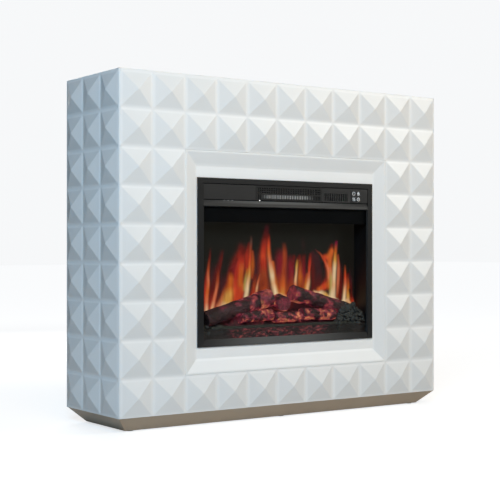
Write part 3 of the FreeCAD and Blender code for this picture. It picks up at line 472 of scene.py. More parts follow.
def charred(name, bark, ash, glow_colours):
    """Moulded, painted bark. The points' "ember_heat" says where it glows: furrows and low edges."""
    m = Surface(name, bark, 0.62, Specular_IOR_Level=0.35)
    heat = m.add("Attribute", attribute_name="ember_heat").outputs["Fac"]
    grain = m.noise(420.0, 5, 0.65)
    base = m.blend(m.noise(38.0, 4, 0.6), 0.42, 0.62, bark, ash)
    m.colour(m.blend(grain, 0.3, 0.6, toned(bark, 0.35), base))
    m.roughness(grain, 0.5, 0.8)
    m.bump(grain, 0.5 * MM, 0.8)
    uneven = m.ramp(m.noise(75.0, 3), (0.35, 0.35), (0.65, 1.0))
    m.glow(m.mix(1.0, m.ramp(heat, *glow_colours), uneven, "MULTIPLY"))
    return m


def flame_light():
    """The picture on the screen shines with the colours stored on its points."""
    m = Surface("flame_light", (0.004, 0.004, 0.003), 0.45, Specular_IOR_Level=0.15)
    stored = m.add("Attribute", attribute_name="flame_colour")
    m.glow(stored.outputs["Color"])
    return m


def pale_mark():
    m = Surface("pale_mark", (0.75, 0.76, 0.76), 0.5)
    m.roughness(m.noise(900.0, 2), 0.45, 0.6)
    # Painted light: a faint glow keeps the pale marks bright under any lamp.
    m.glow((0.8, 0.85, 0.85), 0.20)
    return m


# Glow over heat, from 0 to 1.
EMBER_GLOW = ((0.0, BLACK), (0.3, (0.006, 0.001, 0.002)), (0.6, (0.070, 0.009, 0.016)),
              (1.0, (0.34, 0.052, 0.050)))
LOG_GLOW = ((0.0, BLACK), (0.2, (0.018, 0.003, 0.006)), (0.42, (0.15, 0.014, 0.030)),
            (0.62, (0.30, 0.030, 0.046)), (0.8, (0.44, 0.080, 0.056)), (1.0, (0.70, 0.22, 0.10)))
COAL_GLOW = ((0.0, BLACK), (0.6, (0.003, 0.001, 0.001)), (1.0, (0.014, 0.006, 0.006)))
SURFACES = {
    "white_paint": white_lacquer(), "taupe_paint": taupe_lacquer(), "raw_board": raw_mdf(),
    "black_steel": powder_coat("black_steel", (0.0065, 0.0065, 0.007), 0.44),
    "grille_metal": grille_metal(), "cast_iron": cast_iron(), "ceramic": ceramic(),
    "circuit_board": circuit_board(), "clear_glass": clear_glass(), "lamp_lens": lamp_lens(),
    "flame_screen": flame_light(), "icon_white": pale_mark(),
    "ember_resin": charred("ember_resin", (0.022, 0.017, 0.016), (0.046, 0.030, 0.031), EMBER_GLOW),
    "log_resin": charred("log_resin", (0.036, 0.018, 0.017), (0.088, 0.038, 0.042), LOG_GLOW),
    "coal": charred("coal", (0.040, 0.040, 0.039), (0.085, 0.085, 0.083), COAL_GLOW)}
# Colour and roughness.
PLASTICS = {"nylon_white": ((0.7, 0.7, 0.67), 0.45), "black_plastic": ((0.012, 0.012, 0.012), 0.42),
            "key_plastic": ((0.02, 0.02, 0.022), 0.3), "rubber": ((0.02, 0.02, 0.02), 0.8)}
# Colour, roughness, and how fine the spangle is.
SHEETS = {"zinc_steel": ((0.62, 0.62, 0.62), 0.32, 400.0), "galvanised": ((0.55, 0.57, 0.58), 0.42, 90.0),
          "aluminium": ((0.75, 0.75, 0.75), 0.28, 700.0), "motor_steel": ((0.4, 0.4, 0.41), 0.35, 500.0)}
SURFACES.update({name: moulded(name, *look) for name, look in PLASTICS.items()})
SURFACES.update({name: sheet_steel(name, *look) for name, look in SHEETS.items()})


def paint(obj, surface):
    obj.data.materials.clear()
    obj.data.materials.append(surface.material)


def paint_frame():
    """Gives every CAD node the material of its slot, and a few their own."""
    for part in frame["record"]["subparts"]:
        paint(NODES[part["node"]], SURFACES[part["material_slot"]])
    inside_black = case_wall()
    for name in ("case_left_side", "case_right_side", "case_base", "case_top", "rear_cover"):
        paint(NODES[name], inside_black)
    paint(NODES["corner_battens"], pine())
    paint(NODES["upper_valance"], matt_black("valance_black"))
    paint(NODES["trim_frame"], frame_with_painted_sheen())


def round_edges(obj, width, angle, segments=3, clamp=False):
    """Rounds the edges that turn by more than the angle, with modifiers."""
    bevel = obj.modifiers.new("bevel", "BEVEL")
    bevel.width = width
    bevel.segments = segments
    bevel.limit_method = "ANGLE"
    bevel.angle_limit = math.radians(angle)
    bevel.use_clamp_overlap = clamp
    obj.modifiers.new("normals", "WEIGHTED_NORMAL")


def soften(name, width, segments=2):
    """Rounds the hard edges of a CAD node."""
    obj = NODES[name]
    weld = obj.modifiers.new("weld", "WELD")
    weld.merge_threshold = 0.01 * MM
    round_edges(obj, width, 20, segments, clamp=True)
    obj.data.shade_smooth()


# ---- mesh helpers ----
def piece(name, verts, faces, slot, nodes=(), smooth=True, body=BODY):
    """A new object that rides on a body and may stand for CAD nodes."""
    mesh = bpy.data.meshes.new(name)
    mesh.from_pydata([tuple(v) for v in verts], [], faces)
    mesh.validate()
    if smooth:
        mesh.shade_smooth()
    obj = bpy.data.objects.new(name, mesh)
    bpy.context.scene.collection.objects.link(obj)
    paint(obj, SURFACES[slot])
    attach(obj, body)
    if nodes:
        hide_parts(*nodes)
    return obj


def grid_faces(across, rows):
    """Quads over rows of points, each with across + 1 points."""
    row = across + 1
    return [(j * row + i, j * row + i + 1, (j + 1) * row + i + 1, (j + 1) * row + i)
            for j in range(rows) for i in range(across)]


# ---- mantel ----
def spans(count, first, last):
    out = []
    for i in range(count):
        low = first if i == 0 else GROOVE / 2
        high = last if i == count - 1 else GROOVE / 2
        out.append((i * PITCH + low, (i + 1) * PITCH - high))
    return out


def corner_arc():
    """Plan points (along, out) that round a mitred corner, from its start to half way."""
    steps = [math.radians(45 * i / 4) for i in range(1, 5)]
    return [(CORNER_RADIUS * math.sin(a), CORNER_RADIUS * (math.cos(a) - 1)) for a in steps]


def relief_panel(name, node, columns, rows, length, place, round_end, hole=()):
    """A board with pyramids. place(along, out, up) gives a point; hole is (u0, u1, z0, z1)."""
    u_lines = sorted({u for pair in columns for u in pair} | set(hole[:2]))
    z_lines = sorted({z for pair in rows for z in pair} | {0, ROWS * PITCH} | set(hole[2:]))
    arc = corner_arc()
    start = [(BOARD, -BOARD)] + [(CORNER_RADIUS - du, out) for du, out in reversed(arc)]
    start.append((CORNER_RADIUS, 0))
    end = [(length, 0.0), (length, -BOARD)]
    if round_end:
        end = [(length - CORNER_RADIUS, 0)]
        end += [(length - CORNER_RADIUS + du, out) for du, out in arc] + [(length - BOARD, -BOARD)]
    plan = start + [(u, 0.0) for u in u_lines] + end
    verts, faces, index = [], [], {}

    def vert(i, j):
        if (i, j) not in index:
            index[i, j] = len(verts)
            verts.append(place(*plan[i], z_lines[j]))
        return index[i, j]

    def in_hole(i, j):
        if not hole:
            return False
        um, zm = (plan[i][0] + plan[i + 1][0]) / 2, (z_lines[j] + z_lines[j + 1]) / 2
        return hole[0] < um < hole[1] and hole[2] < zm < hole[3]

    last_i, last_j = len(plan) - 1, len(z_lines) - 1
    for i in range(last_i):
        for j in range(last_j):
            if in_hole(i, j):
                continue
            ring = [vert(i, j), vert(i + 1, j), vert(i + 1, j + 1), vert(i, j + 1)]
            u0, u1, z0, z1 = plan[i][0], plan[i + 1][0], z_lines[j], z_lines[j + 1]
            if (u0, u1) in columns and (z0, z1) in rows:
                tip = len(verts)
                verts.append(place((u0 + u1) / 2, RELIEF, (z0 + z1) / 2))
                faces += [(ring[k], ring[(k + 1) % 4], tip) for k in range(4)]
            else:
                faces.append(tuple(ring))
    faces.append(tuple(vert(i, 0) for i in range(last_i, -1, -1)))
    faces.append(tuple(vert(i, last_j) for i in range(last_i + 1)))
    outer = [vert(0, j) for j in range(last_j + 1)], [vert(last_i, j) for j in range(last_j, -1, -1)]
    if not hole:
        faces.append(tuple(outer[0] + outer[1]))
    else:
        # The back is four quads round the hole, and the hole has walls.
        iu = [i for i, p in enumerate(plan) if p[1] == 0.0 and hole[0] <= p[0] <= hole[1]]
        jz = [j for j, z in enumerate(z_lines) if hole[2] <= z <= hole[3]]
        sides = [[(iu[0], j) for j in jz], [(i, jz[-1]) for i in iu],
                 [(iu[-1], j) for j in reversed(jz)], [(i, jz[0]) for i in reversed(iu)]]
        behind = {}
        for side in sides:
            for i, j in side:
                if (i, j) not in behind:
                    behind[i, j] = len(verts)
                    verts.append(place(plan[i][0], -BOARD, z_lines[j]))
            for a, b in zip(side, side[1:]):
                faces.append((vert(*a), vert(*b), behind[b], behind[a]))
        left, right = outer
        edges = [left, [left[-1], right[0]], right, [right[-1], left[0]]]
        for side, edge in zip(sides, edges):
            faces.append(tuple(edge + [behind[p] for p in reversed(side)]))
    obj = piece(name, verts, faces, "white_paint", [node])
    bm = bmesh.new()
    bm.from_mesh(obj.data)
    bmesh.ops.recalc_face_normals(bm, faces=bm.faces)
    bm.to_mesh(obj.data)
    bm.free()
    round_edges(obj, GROOVE_ROUNDING, 7)


def mantel():
    rows = spans(ROWS, GROOVE / 2, GROOVE)
    across = spans(COLUMNS, CORNER_MARGIN, CORNER_MARGIN)
    deep = spans(DEEP, CORNER_MARGIN, GROOVE)
    hole = (HALF_W - HOLE_X, HALF_W + HOLE_X, HOLE_Z0 - BASE_Z, HOLE_Z1 - BASE_Z)
    relief_panel("mantel_front", "front_panel", across, rows, 2 * HALF_W,
                 lambda u, out, z: (u - HALF_W, FRONT - out, z + BASE_Z), True, hole)
    for side, sign in (("right", 1), ("left", -1)):
        relief_panel("mantel_" + side, side + "_side_panel", deep, rows, BACK - FRONT,
                     lambda u, out, z: (sign * (HALF_W + out), FRONT + u, z + BASE_Z), False)


def recess():
    """A mitred frame round the niche: flat edge, sloping bevel, flat band, and straight back."""
    def ring(inset, depth):
        return HOLE_X - inset, HOLE_Z0 + inset, HOLE_Z1 - inset, FRONT + depth
    lo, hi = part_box("case_right_side")
    niche = hi.x + NICHE_GAP, lo.z - NICHE_GAP, hi.z + NICHE_GAP
    rings = [ring(0, 0), ring(BEVEL_EDGE, 0), ring(BEVEL_EDGE + BEVEL_RUN, BEVEL_DEPTH),
             (*niche, FRONT + BEVEL_DEPTH), (*niche, SURROUND_HI.y), (*ring(0, 0)[:3], SURROUND_HI.y)]
    verts, faces = [], []
    for half, bottom, top, y in rings:
        verts += [(-half, y, bottom), (half, y, bottom), (half, y, top), (-half, y, top)]
    for i in range(len(rings)):
        a, b = 4 * i, 4 * ((i + 1) % len(rings))
        faces += [(a + k, a + (k + 1) % 4, b + (k + 1) % 4, b + k) for k in range(4)]
    obj = piece("recess_frame", verts, faces, "white_paint", ["recess_surround"])
    round_edges(obj, BEVEL_ROUNDING, 8)


# Width, proud and sunk depth of the painted shadow strip round the control strip.
SHADOW_STRIP_WIDE, SHADOW_STRIP_PROUD, SHADOW_STRIP_SUNK = 1.9 * MM, 0.25 * MM, 0.5 * MM


def fascia_shadow_strip():
    """A matt black strip above and below the control strip, laid where the gap round it falls in shade:
    painted shadow.
    """
    lo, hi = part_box("fascia_panel")
    depths = lo.y - SHADOW_STRIP_PROUD, lo.y + SHADOW_STRIP_SUNK
    verts, faces = [], []
    for z in (lo.z, hi.z - SHADOW_STRIP_WIDE):
        first = len(verts)
        verts += [(x, y, z + up) for x in (lo.x, hi.x) for y in depths for up in (0, SHADOW_STRIP_WIDE)]
        faces += [tuple(first + i for i in face) for face in
                  ((0, 1, 3, 2), (4, 6, 7, 5), (0, 4, 5, 1), (2, 3, 7, 6), (0, 2, 6, 4), (1, 5, 7, 3))]
    shadow_strip = piece("fascia_shadow_strip", verts, faces, "rubber")
    paint(shadow_strip, matt_black("shadow_strip_black"))
    round_edges(shadow_strip, 0.2 * MM, 30)


# ---- noise ----
def smooth_step(t):
    t = np.clip(t, 0, 1)
    return t * t * (3 - 2 * t)


def value_noise(points, seed, size):
    """Smooth noise at points in a plane or in space, from -1 to 1."""
    axes = points.shape[1]
    table = np.random.default_rng(seed).uniform(-1, 1, [size] * axes)
    whole = np.floor(points).astype(int)
    part = smooth_step(points - whole)
    total = np.zeros(len(points))
    for corner in range(2 ** axes):
        step = np.array([corner >> k & 1 for k in range(axes)])
        weight = np.prod(np.where(step, part, 1 - part), axis=1)
        total += weight * table[tuple(((whole + step) % size).T)]
    return total


def flat_noise(u, v, seed):
    return value_noise(np.stack([u, v], 1), seed, 64)


def layered(points, seed, octaves):
    return sum(value_noise(points * 2 ** k, seed + k, 32) / 2 ** k for k in range(octaves)) / 1.6


# ---- flame picture ----
# Colours, as they should look.
CREAM, PALE, SALMON, GOLD = (228, 192, 150), (222, 165, 118), (205, 105, 70), (205, 145, 65)
OLIVE, ORANGE, AMBER, RUST = (165, 145, 75), (200, 90, 36), (188, 88, 26), (150, 58, 28)
RED, SCARLET, CRIMSON, MAROON = (168, 42, 26), (196, 62, 32), (124, 20, 34), (92, 16, 12)
WINE, DIM, ASH, MAGENTA, UNLIT = (58, 22, 28), (42, 20, 21), (92, 58, 50), (112, 12, 50), (20, 18, 15)

# Strokes, from the back to the front: foot, middle and tip (millimetres across from the
# middle and up from the floor), half width at foot and tip, strength, and colours from foot to tip.
STROKES = [
    ((-216, 322), (-212, 385), (-204, 440), 24, 14, 0.85, MAROON, MAROON, WINE, UNLIT),
    ((-178, 335), (-180, 370), (-176, 415), 14, 9, 0.9, WINE, WINE, WINE, UNLIT),
    ((-70, 350), (-68, 420), (-66, 480), 12, 8, 0.9, MAROON, WINE, WINE, UNLIT),
    ((-238, 312), (-239, 375), (-230, 420), 6, 4, 0.9, RED, RED, MAROON),
    ((-220, 310), (-206, 385), (-184, 468), 10, 6, 0.85, RED, MAROON, MAROON, WINE),
    ((-237, 297), (-232, 385), (-222, 482), 5.6, 2.6, 1.0,
     CREAM, SALMON, ORANGE, SALMON, RUST, MAROON, UNLIT),
    ((-218, 306), (-201, 385), (-181, 480), 5, 2.6, 1.0, PALE, SALMON, SALMON, RUST, MAROON, MAROON, UNLIT),
    ((-196, 315), (-177, 360), (-160, 422), 8, 4, 0.9, SALMON, RUST, MAROON, WINE),
    ((-136, 322), (-138, 392), (-118, 474), 25, 13, 1.0, RED, SCARLET, RED, RED, MAROON),
    ((-152, 375), (-152, 410), (-136, 448), 9, 6, 0.8, CRIMSON, CRIMSON, MAROON),
    ((-122, 375), (-121, 420), (-112, 466), 8, 6, 0.9, AMBER, AMBER, ORANGE, RED, MAROON),
    ((-174, 312), (-161, 355), (-156, 414), 16, 7, 1.0, CREAM, GOLD, GOLD, AMBER, AMBER, MAROON),
    ((-133, 328), (-122, 348), (-112, 368), 9, 8, 0.7, SCARLET, SCARLET, ORANGE),
    ((-100, 425), (-99, 455), (-94, 490), 9, 5, 0.9, RED, RED, MAROON),
    ((-107, 360), (-105, 388), (-101, 415), 6, 4, 0.85, OLIVE, OLIVE, AMBER),
    ((-84, 395), (-80, 428), (-82, 466), 6, 4, 0.85, RUST, AMBER, RUST),
    ((-104, 338), (-93, 405), (-87, 516), 6.2, 3, 1.0,
     CREAM, CREAM, PALE, GOLD, ORANGE, SCARLET, RUST, ASH, UNLIT),
    ((-80, 340), (-74, 370), (-70, 402), 9, 5, 0.9, RED, RUST, MAROON),
    ((-69, 345), (-63, 372), (-57, 400), 3.6, 2.4, 1.0, SALMON, PALE, SALMON, RUST),
    ((-38, 345), (-44, 435), (-31, 540), 17, 7, 1.0, RUST, RUST, RUST, RED, SCARLET, RED, MAROON, WINE),
    ((-44, 372), (-42, 405), (-46, 440), 7, 5, 0.5, MAROON, RUST, RED),
    ((22, 340), (18, 420), (20, 486), 27, 14, 0.95, RED, RUST, CRIMSON, CRIMSON, UNLIT),
    ((50, 360), (52, 415), (46, 462), 9, 7, 0.9, RUST, CRIMSON, CRIMSON, UNLIT),
    ((24, 342), (30, 420), (28, 500), 8, 6, 0.95, GOLD, ORANGE, RUST, RUST, RUST, UNLIT),
    ((10, 340), (-3, 388), (-11, 440), 7, 4, 0.9, GOLD, AMBER, AMBER, ORANGE),
    ((-12, 330), (16, 343), (48, 336), 6, 5, 0.9, PALE, PALE, SALMON),
    ((4, 330), (-16, 416), (-26, 516), 8, 4.2, 1.0,
     CREAM, CREAM, PALE, CREAM, PALE, SALMON, ORANGE, SCARLET, MAROON),
    ((60, 368), (58, 412), (64, 452), 7, 5, 0.9, RUST, CRIMSON, MAROON),
    ((102, 358), (100, 412), (102, 455), 10, 7, 0.9, RUST, CRIMSON, MAROON),
    ((88, 366), (88, 408), (84, 456), 9, 5, 0.95, RUST, AMBER, RUST, MAROON),
    ((72, 366), (73, 405), (77, 450), 4.6, 3.6, 1.0, SALMON, PALE, PALE, GOLD, MAROON),
    ((134, 356), (137, 402), (134, 462), 7, 5, 0.9, MAROON, MAROON, WINE),
    ((110, 356), (110, 380), (113, 402), 6, 4, 0.95, GOLD, AMBER, RUST),
    ((114, 352), (120, 395), (126, 456), 5, 4.5, 1.0, PALE, PALE, SALMON, SCARLET, RED, MAROON),
    ((152, 360), (155, 405), (146, 452), 13, 9, 0.9, MAROON, WINE, WINE),
    ((176, 368), (189, 396), (182, 424), 9, 6, 0.95, RED, MAROON, MAROON),
    ((204, 372), (197, 428), (204, 484), 11, 6, 1.0, AMBER, SALMON, ORANGE, ORANGE, AMBER, MAROON),
    ((180, 450), (193, 452), (204, 468), 8, 7, 0.95, SCARLET, ORANGE, ORANGE),
    ((197, 398), (186, 432), (144, 472), 6, 2.2, 1.0, SALMON, SALMON, SCARLET, RUST, WINE),
    ((158, 358), (178, 362), (194, 374), 8, 8, 0.95, ORANGE, SCARLET, AMBER),
    ((236, 322), (239, 375), (236, 425), 8, 6, 0.95, MAROON, MAROON, WINE),
    ((140, 350), (176, 343), (226, 318), 5, 7, 1.0, PALE, CREAM, GOLD, CREAM, CREAM),
    ((203, 330), (202, 378), (199, 420), 7, 4, 0.95, CREAM, OLIVE, OLIVE, SALMON),
    ((225, 335), (231, 415), (228, 456), 5, 4, 0.9, RUST, SALMON, SALMON, RUST),
    ((209, 318), (214, 400), (221, 495), 8, 4.5, 1.0, CREAM, CREAM, PALE, CREAM, CREAM, GOLD, AMBER, MAGENTA),
    ((270, 312), (267, 352), (268, 402), 7, 4, 0.95, PALE, GOLD, AMBER, RUST, MAROON),
    ((278, 315), (279, 355), (276, 392), 4, 4, 0.8, RUST, MAROON, WINE),
    ((248, 322), (262, 321), (276, 315), 4, 4, 0.9, CREAM, PALE, PALE),
    ((251, 314), (256, 372), (257, 432), 6, 3.4, 1.0, CREAM, CREAM, PALE, SALMON, SCARLET, RUST, UNLIT),
    ((290, 296), (285, 322), (274, 352), 7, 4, 0.95, SALMON, SCARLET, MAROON, UNLIT),
    ((101, 462), (99, 488), (93, 518), 7, 4, 0.7, UNLIT, DIM, UNLIT),
    ((272, 392), (276, 412), (275, 432), 4, 3, 0.6, WINE, DIM, UNLIT)]


PICTURE_STEP = 1.6 * MM


def linear(colour):
    """Light of a colour given as it looks, 0 to 255."""
    level = np.array(colour) / 255
    return ((level + 0.055) / 1.055) ** 2.4


def flame_colours(x, z):
    """Colours of the picture at points x, z in millimetres: soft strokes laid one over another."""
    sway = 2.4 * flat_noise(x / 26, z / 46, 3) + 1.1 * flat_noise(x / 8, z / 24, 4)
    px, pz = x + sway * np.clip((z - 320) / 60, 0.2, 1), z + 4.0 * flat_noise(x / 14, z / 60, 7)
    light = np.tile(linear(UNLIT), (len(x), 1))
    haze = 0.75 * np.exp(-((z - 335) / 72) ** 2) * np.clip(1.3 - np.abs(x) / 260, 0, 1)
    light += haze[:, None] * (linear(WINE) - light)
    for foot, middle, tip, wide, narrow, strength, *colours in STROKES:
        foot, middle, tip = np.array(foot), np.array(middle), np.array(tip)
        run = tip - foot
        bulge = middle - (foot + tip) / 2
        bulge = bulge - run * (bulge @ run) / (run @ run)
        t = np.clip(((px - foot[0]) * run[0] + (pz - foot[1]) * run[1]) / (run @ run), 0, 1)
        bow = 4 * t * (1 - t)
        half = wide + (narrow - wide) * t
        far = np.hypot(px - foot[0] - run[0] * t - bulge[0] * bow, pz - foot[1] - run[1] * t - bulge[1] * bow)
        cover = strength * np.exp(-(far / half) ** 2.5 * 0.72)
        stops = np.linspace(0, 1, len(colours))
        shades = np.stack([np.interp(t, stops, [linear(c)[k] for c in colours]) for k in range(3)], 1)
        light += cover[:, None] * (shades - light)
    streak = flat_noise(x / 4 + 0.4 * z / 20, z / 60, 9) + 0.6 * flat_noise(x / 2.2, z / 34, 11)
    bright = np.clip(light.max(axis=1) / 0.3, 0, 1)
    return np.clip(light * (1 + 0.13 * streak * bright)[:, None], 0, 1)


def flame_picture():
    """The screen's panel as a fine grid in front and one flat face behind."""
    lo, hi = SCREEN_LO, SCREEN_HI
    across, up = round((hi.x - lo.x) / PICTURE_STEP), round((hi.z - lo.z) / PICTURE_STEP)
    grid_x = np.tile(np.linspace(lo.x, hi.x, across + 1), up + 1)
    grid_z = np.repeat(np.linspace(lo.z, hi.z, up + 1), across + 1)
    front = np.stack([grid_x, np.full(len(grid_x), lo.y), grid_z], 1)
    faces = grid_faces(across, up)
    index = np.arange(len(front)).reshape(up + 1, across + 1)
    rim = np.concatenate([index[0], index[1:, -1], index[-1, -2::-1], index[-2:0:-1, 0]]).tolist()
    start, count = len(front), len(rim)
    back = front[rim] + np.array([0, hi.y - lo.y, 0])
    faces += [(rim[k], start + k, start + (k + 1) % count, rim[(k + 1) % count]) for k in range(count)]
    faces.append(tuple(start + k for k in range(count - 1, -1, -1)))
    points = np.vstack([front, back])
    obj = piece("flame_picture", points, faces, "flame_screen", ["flame_screen"], smooth=False)
    colours = np.ones((len(points), 4), np.float32)
    colours[:start, :3] = flame_colours(front[:, 0] / MM, front[:, 2] / MM)
    colours[start:, :3] = 0
    attribute = obj.data.color_attributes.new("flame_colour", "FLOAT_COLOR", "POINT")
    attribute.data.foreach_set("color", colours.ravel())


# ---- fuel bed ----
def glowing_piece(name, node, slot, parts):
    """One object of several parts' points, faces and heat."""
    points, faces = [], []
    for part_points, part_faces, _ in parts:
        faces += [tuple(i + len(points) for i in face) for face in part_faces]
        points += list(part_points)
    obj = piece(name, points, faces, slot, [node])
    attribute = obj.data.attributes.new("ember_heat", "FLOAT", "POINT")
    heat = np.concatenate([part[2] for part in parts])
    attribute.data.foreach_set("value", np.clip(heat, 0, 1).astype(np.float32))
    return obj


def islands(name):
    """Boxes (lo, hi) of a node's separate solids, from left to right."""
    solid = bmesh.new()
    solid.from_mesh(NODES[name].data)
    bmesh.ops.remove_doubles(solid, verts=solid.verts, dist=0.01 * MM)
    left, boxes = set(solid.verts), []
    while left:
        found, fresh = set(), {left.pop()}
        while fresh:
            found |= fresh
            fresh = {e.other_vert(v) for v in fresh for e in v.link_edges} - found
        left -= found
        corners = [[round(c, 5) for c in v.co] for v in found]
        boxes.append((Vector(map(min, *corners)), Vector(map(max, *corners))))
    solid.free()
    return sorted(boxes, key=lambda box: box[0].x)


RING_STEP, AROUND, END_RINGS = 1.7 * MM, 72, 9
# Sizes along the log and across it: the bark's long furrows and short cracks, and its finest crumbs.
FURROWS, CRACKS, CRUMB = (26 * MM, 8 * MM, 8 * MM), (9 * MM, 20 * MM, 20 * MM), 5 * MM


def bark_log(start, end, radii, seed, end_glow, warm, glow=0.70, furrow=2.2 * MM, patch=21 * MM):
    """Points, faces and heat of one charred log. end_glow is the heat of its two sawn ends, warm the
    even heat under the bark from start to end, and patch the size of the glowing patches."""
    start, end = np.array(start), np.array(end)
    length = np.linalg.norm(end - start)
    axis = (end - start) / length
    side = np.cross(axis, (0, 0, 1.0))
    side /= np.linalg.norm(side)
    up = np.cross(side, axis)

    # Rings run out over the first end, along the log and in over the other end.
    rings = int(length / RING_STEP)
    t = np.concatenate([np.zeros(END_RINGS), np.linspace(0, 1, rings), np.ones(END_RINGS)])
    spread = np.linspace(0.02, 0.97, END_RINGS)
    fill = np.concatenate([spread, np.ones(rings), spread[::-1]])
    turn = np.linspace(0, 2 * math.pi, AROUND, endpoint=False)
    tt, ff, angle = np.repeat(t, AROUND), np.repeat(fill, AROUND), np.tile(turn, len(t))
    on_end, first_half = ff < 1, tt < 0.5
    cos, sin = np.cos(angle), np.sin(angle)
    mean = sum(radii) / 2
    body = np.stack([tt * length, cos * mean, sin * mean], 1)

    lumps = layered(body / (mean * 1.4), seed, 2)
    plates = np.abs(layered(body / np.array(FURROWS), seed + 5, 2))
    cross = np.abs(layered(body / np.array(CRACKS), seed + 11, 2))
    gap = np.clip(1 - plates / 0.16, 0, 1) ** 0.8
    gap = np.maximum(gap, 0.8 * np.clip(1 - cross / 0.10, 0, 1))
    rough = layered(body / CRUMB, seed + 17, 2)
    radius = (radii[0] + (radii[1] - radii[0]) * tt) * (0.93 + 0.07 * lumps)
    radius = radius - furrow * gap + 0.5 * MM * rough - furrow * 0.2
    growth = np.sin(ff * 26 + 2 * lumps) * 0.35 * MM
    inward = growth + (1 - ff) * 1.5 * MM + 1.2 * MM * rough * ff
    jag = 2.0 * MM * np.clip(layered(np.column_stack([cos, sin, cos * 0]) * 2.3, seed + 23, 2), -1, 1)
    near_end = (tt < 0.03) | (tt > 0.97)
    along = tt * length + np.where(first_half, 1, -1) * (inward * on_end + 0.6 * jag * near_end)
    spokes = np.outer(radius * ff * cos, side) + np.outer(radius * ff * sin, up)
    points = start + np.outer(along, axis) + spokes
    faces = []
    for i in range(len(t) - 1):
        for j in range(AROUND):
            k = (j + 1) % AROUND
            faces.append((i * AROUND + j, (i + 1) * AROUND + j, (i + 1) * AROUND + k, i * AROUND + k))
    faces.append(tuple(range(AROUND)))
    faces.append(tuple(len(points) - 1 - j for j in range(AROUND)))

    below = np.clip(0.55 - 0.75 * sin, 0, 1)
    blotch = np.clip(0.45 + 1.9 * layered(body / patch, seed + 31, 2), 0, 1)
    spark = np.clip(0.5 + 1.9 * layered(body / CRUMB, seed + 37, 2), 0, 1)
    even = warm[0] + (warm[1] - warm[0]) * tt
    in_gaps = 0.7 * gap * (0.3 + 0.7 * below) * (0.3 + 0.9 * blotch)
    heat = even * (0.35 + 1.1 * blotch)
    heat += glow * np.clip(0.1 + 2.6 * even, 0, 1) * (0.50 * blotch ** 2 * spark + in_gaps)
    rays = 0.5 + 0.5 * (np.sin(angle * 14) * 0.5 + 0.5) * (np.sin(ff * 22) * 0.5 + 0.5) + 0.25 * rough
    heat = np.where(ff < 0.93, np.where(first_half, *end_glow) * rays, heat)
    return points, faces, heat


def add_log(node, parts):
    glowing_piece(node + "_bark", node, "log_resin", parts)


def slanted_line(node, radius_left, radius_right, rises):
    """The ends of a log that leans from corner to corner of its node's box."""
    lo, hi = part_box(node)
    middle = (lo.y + hi.y) / 2
    left_z, right_z = lo.z + radius_left, hi.z - radius_right
    if not rises:
        left_z, right_z = hi.z - radius_left, lo.z + radius_right
    lean = (right_z - left_z) / (hi.x - lo.x)
    start = (lo.x + abs(lean) * radius_left, middle, left_z)
    end = (hi.x - abs(lean) * radius_right, middle, right_z)
    return Vector(start), Vector(end)


# Radii at the two ends. The left log's seat in its node's box is a little thicker than its bark.
LEFT_SEAT, LEFT_BARK, RIGHT_BARK = (24 * MM, 26 * MM), (24 * MM, 25 * MM), (26.5 * MM, 19 * MM)
BLOCK_RADIUS, BLOCK_START = 27.5 * MM, 0.79     # of the sawn block on the left log's upper end


def logs():
    start, end = slanted_line("log_left", *LEFT_SEAT, True)
    add_log("log_left", [
        bark_log(start, end, LEFT_BARK, seed=41, glow=0.60, end_glow=(0.0, 0.50), warm=(0.06, 0.46)),
        bark_log(start.lerp(end, BLOCK_START), end, (BLOCK_RADIUS, BLOCK_RADIUS), seed=47, glow=0.40,
                 end_glow=(0.3, 0.50), warm=(0.50, 0.46), furrow=1.2 * MM)])
    start, end = slanted_line("log_right", *RIGHT_BARK, False)
    add_log("log_right", [
        bark_log(start, end, RIGHT_BARK, seed=52, end_glow=(0.85, 0.1), warm=(0.42, 0.02))])
    lo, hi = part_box("log_center")
    radius = (hi.x - lo.x) / 2 - 6 * MM
    back, front = (hi.x - radius, hi.y, hi.z - radius), (lo.x + radius, lo.y, lo.z + radius)
    add_log("log_center", [
        bark_log(back, front, (radius, radius), seed=63, end_glow=(0.2, 0.66), warm=(0.42, 0.50))])
    parts = []
    for k, (lo, hi) in enumerate(islands("front_logs")):
        radius, middle = (hi.y - lo.y) / 2, (lo.y + hi.y) / 2
        left_z, right_z = hi.z - radius, lo.z + radius
        if k == 0:                  # the first one rises
            left_z, right_z = right_z, left_z
        parts.append(bark_log((lo.x, middle, left_z), (hi.x, middle, right_z), (radius, radius),
                              seed=74 + k, end_glow=(0.5, 0.5), warm=(0.42, 0.42), furrow=3.2 * MM,
                              patch=13 * MM))
    add_log("front_logs", parts)


FLATS = 15                          # knocked off each lump
COAL_HEAT = 0.7


def lump(centre, size, seed):
    """One broken piece of coal: a ball with flats knocked off it."""
    ball = bmesh.new()
    bmesh.ops.create_icosphere(ball, subdivisions=4, radius=1.0)
    ball.verts.ensure_lookup_table()
    v = np.array([p.co for p in ball.verts])
    faces = [tuple(p.index for p in f.verts) for f in ball.faces]
    ball.free()
    rng = np.random.default_rng(seed)
    unit = v.copy()
    for direction in rng.normal(size=(FLATS, 3)):
        direction /= np.linalg.norm(direction)
        cut = rng.uniform(0.50, 0.82)
        over = np.clip(v @ direction - cut, 0, None)
        v = v - np.outer(over * 0.92, direction)
    v = v * (1 + 0.14 * layered(unit * 2.6, seed, 3))[:, None]
    heat = COAL_HEAT * np.clip(0.5 + 0.9 * layered(unit * 3.0, seed + 3, 2) - 0.5 * unit[:, 2], 0, 1)
    return np.array(centre) + v * np.array(size), faces, heat


# The two heaps: ends across, foot and greatest height, in millimetres, and how many lumps.
HEAPS = [(186, 289, 236, 308, 110), (-284, -208, 240, 264, 24)]


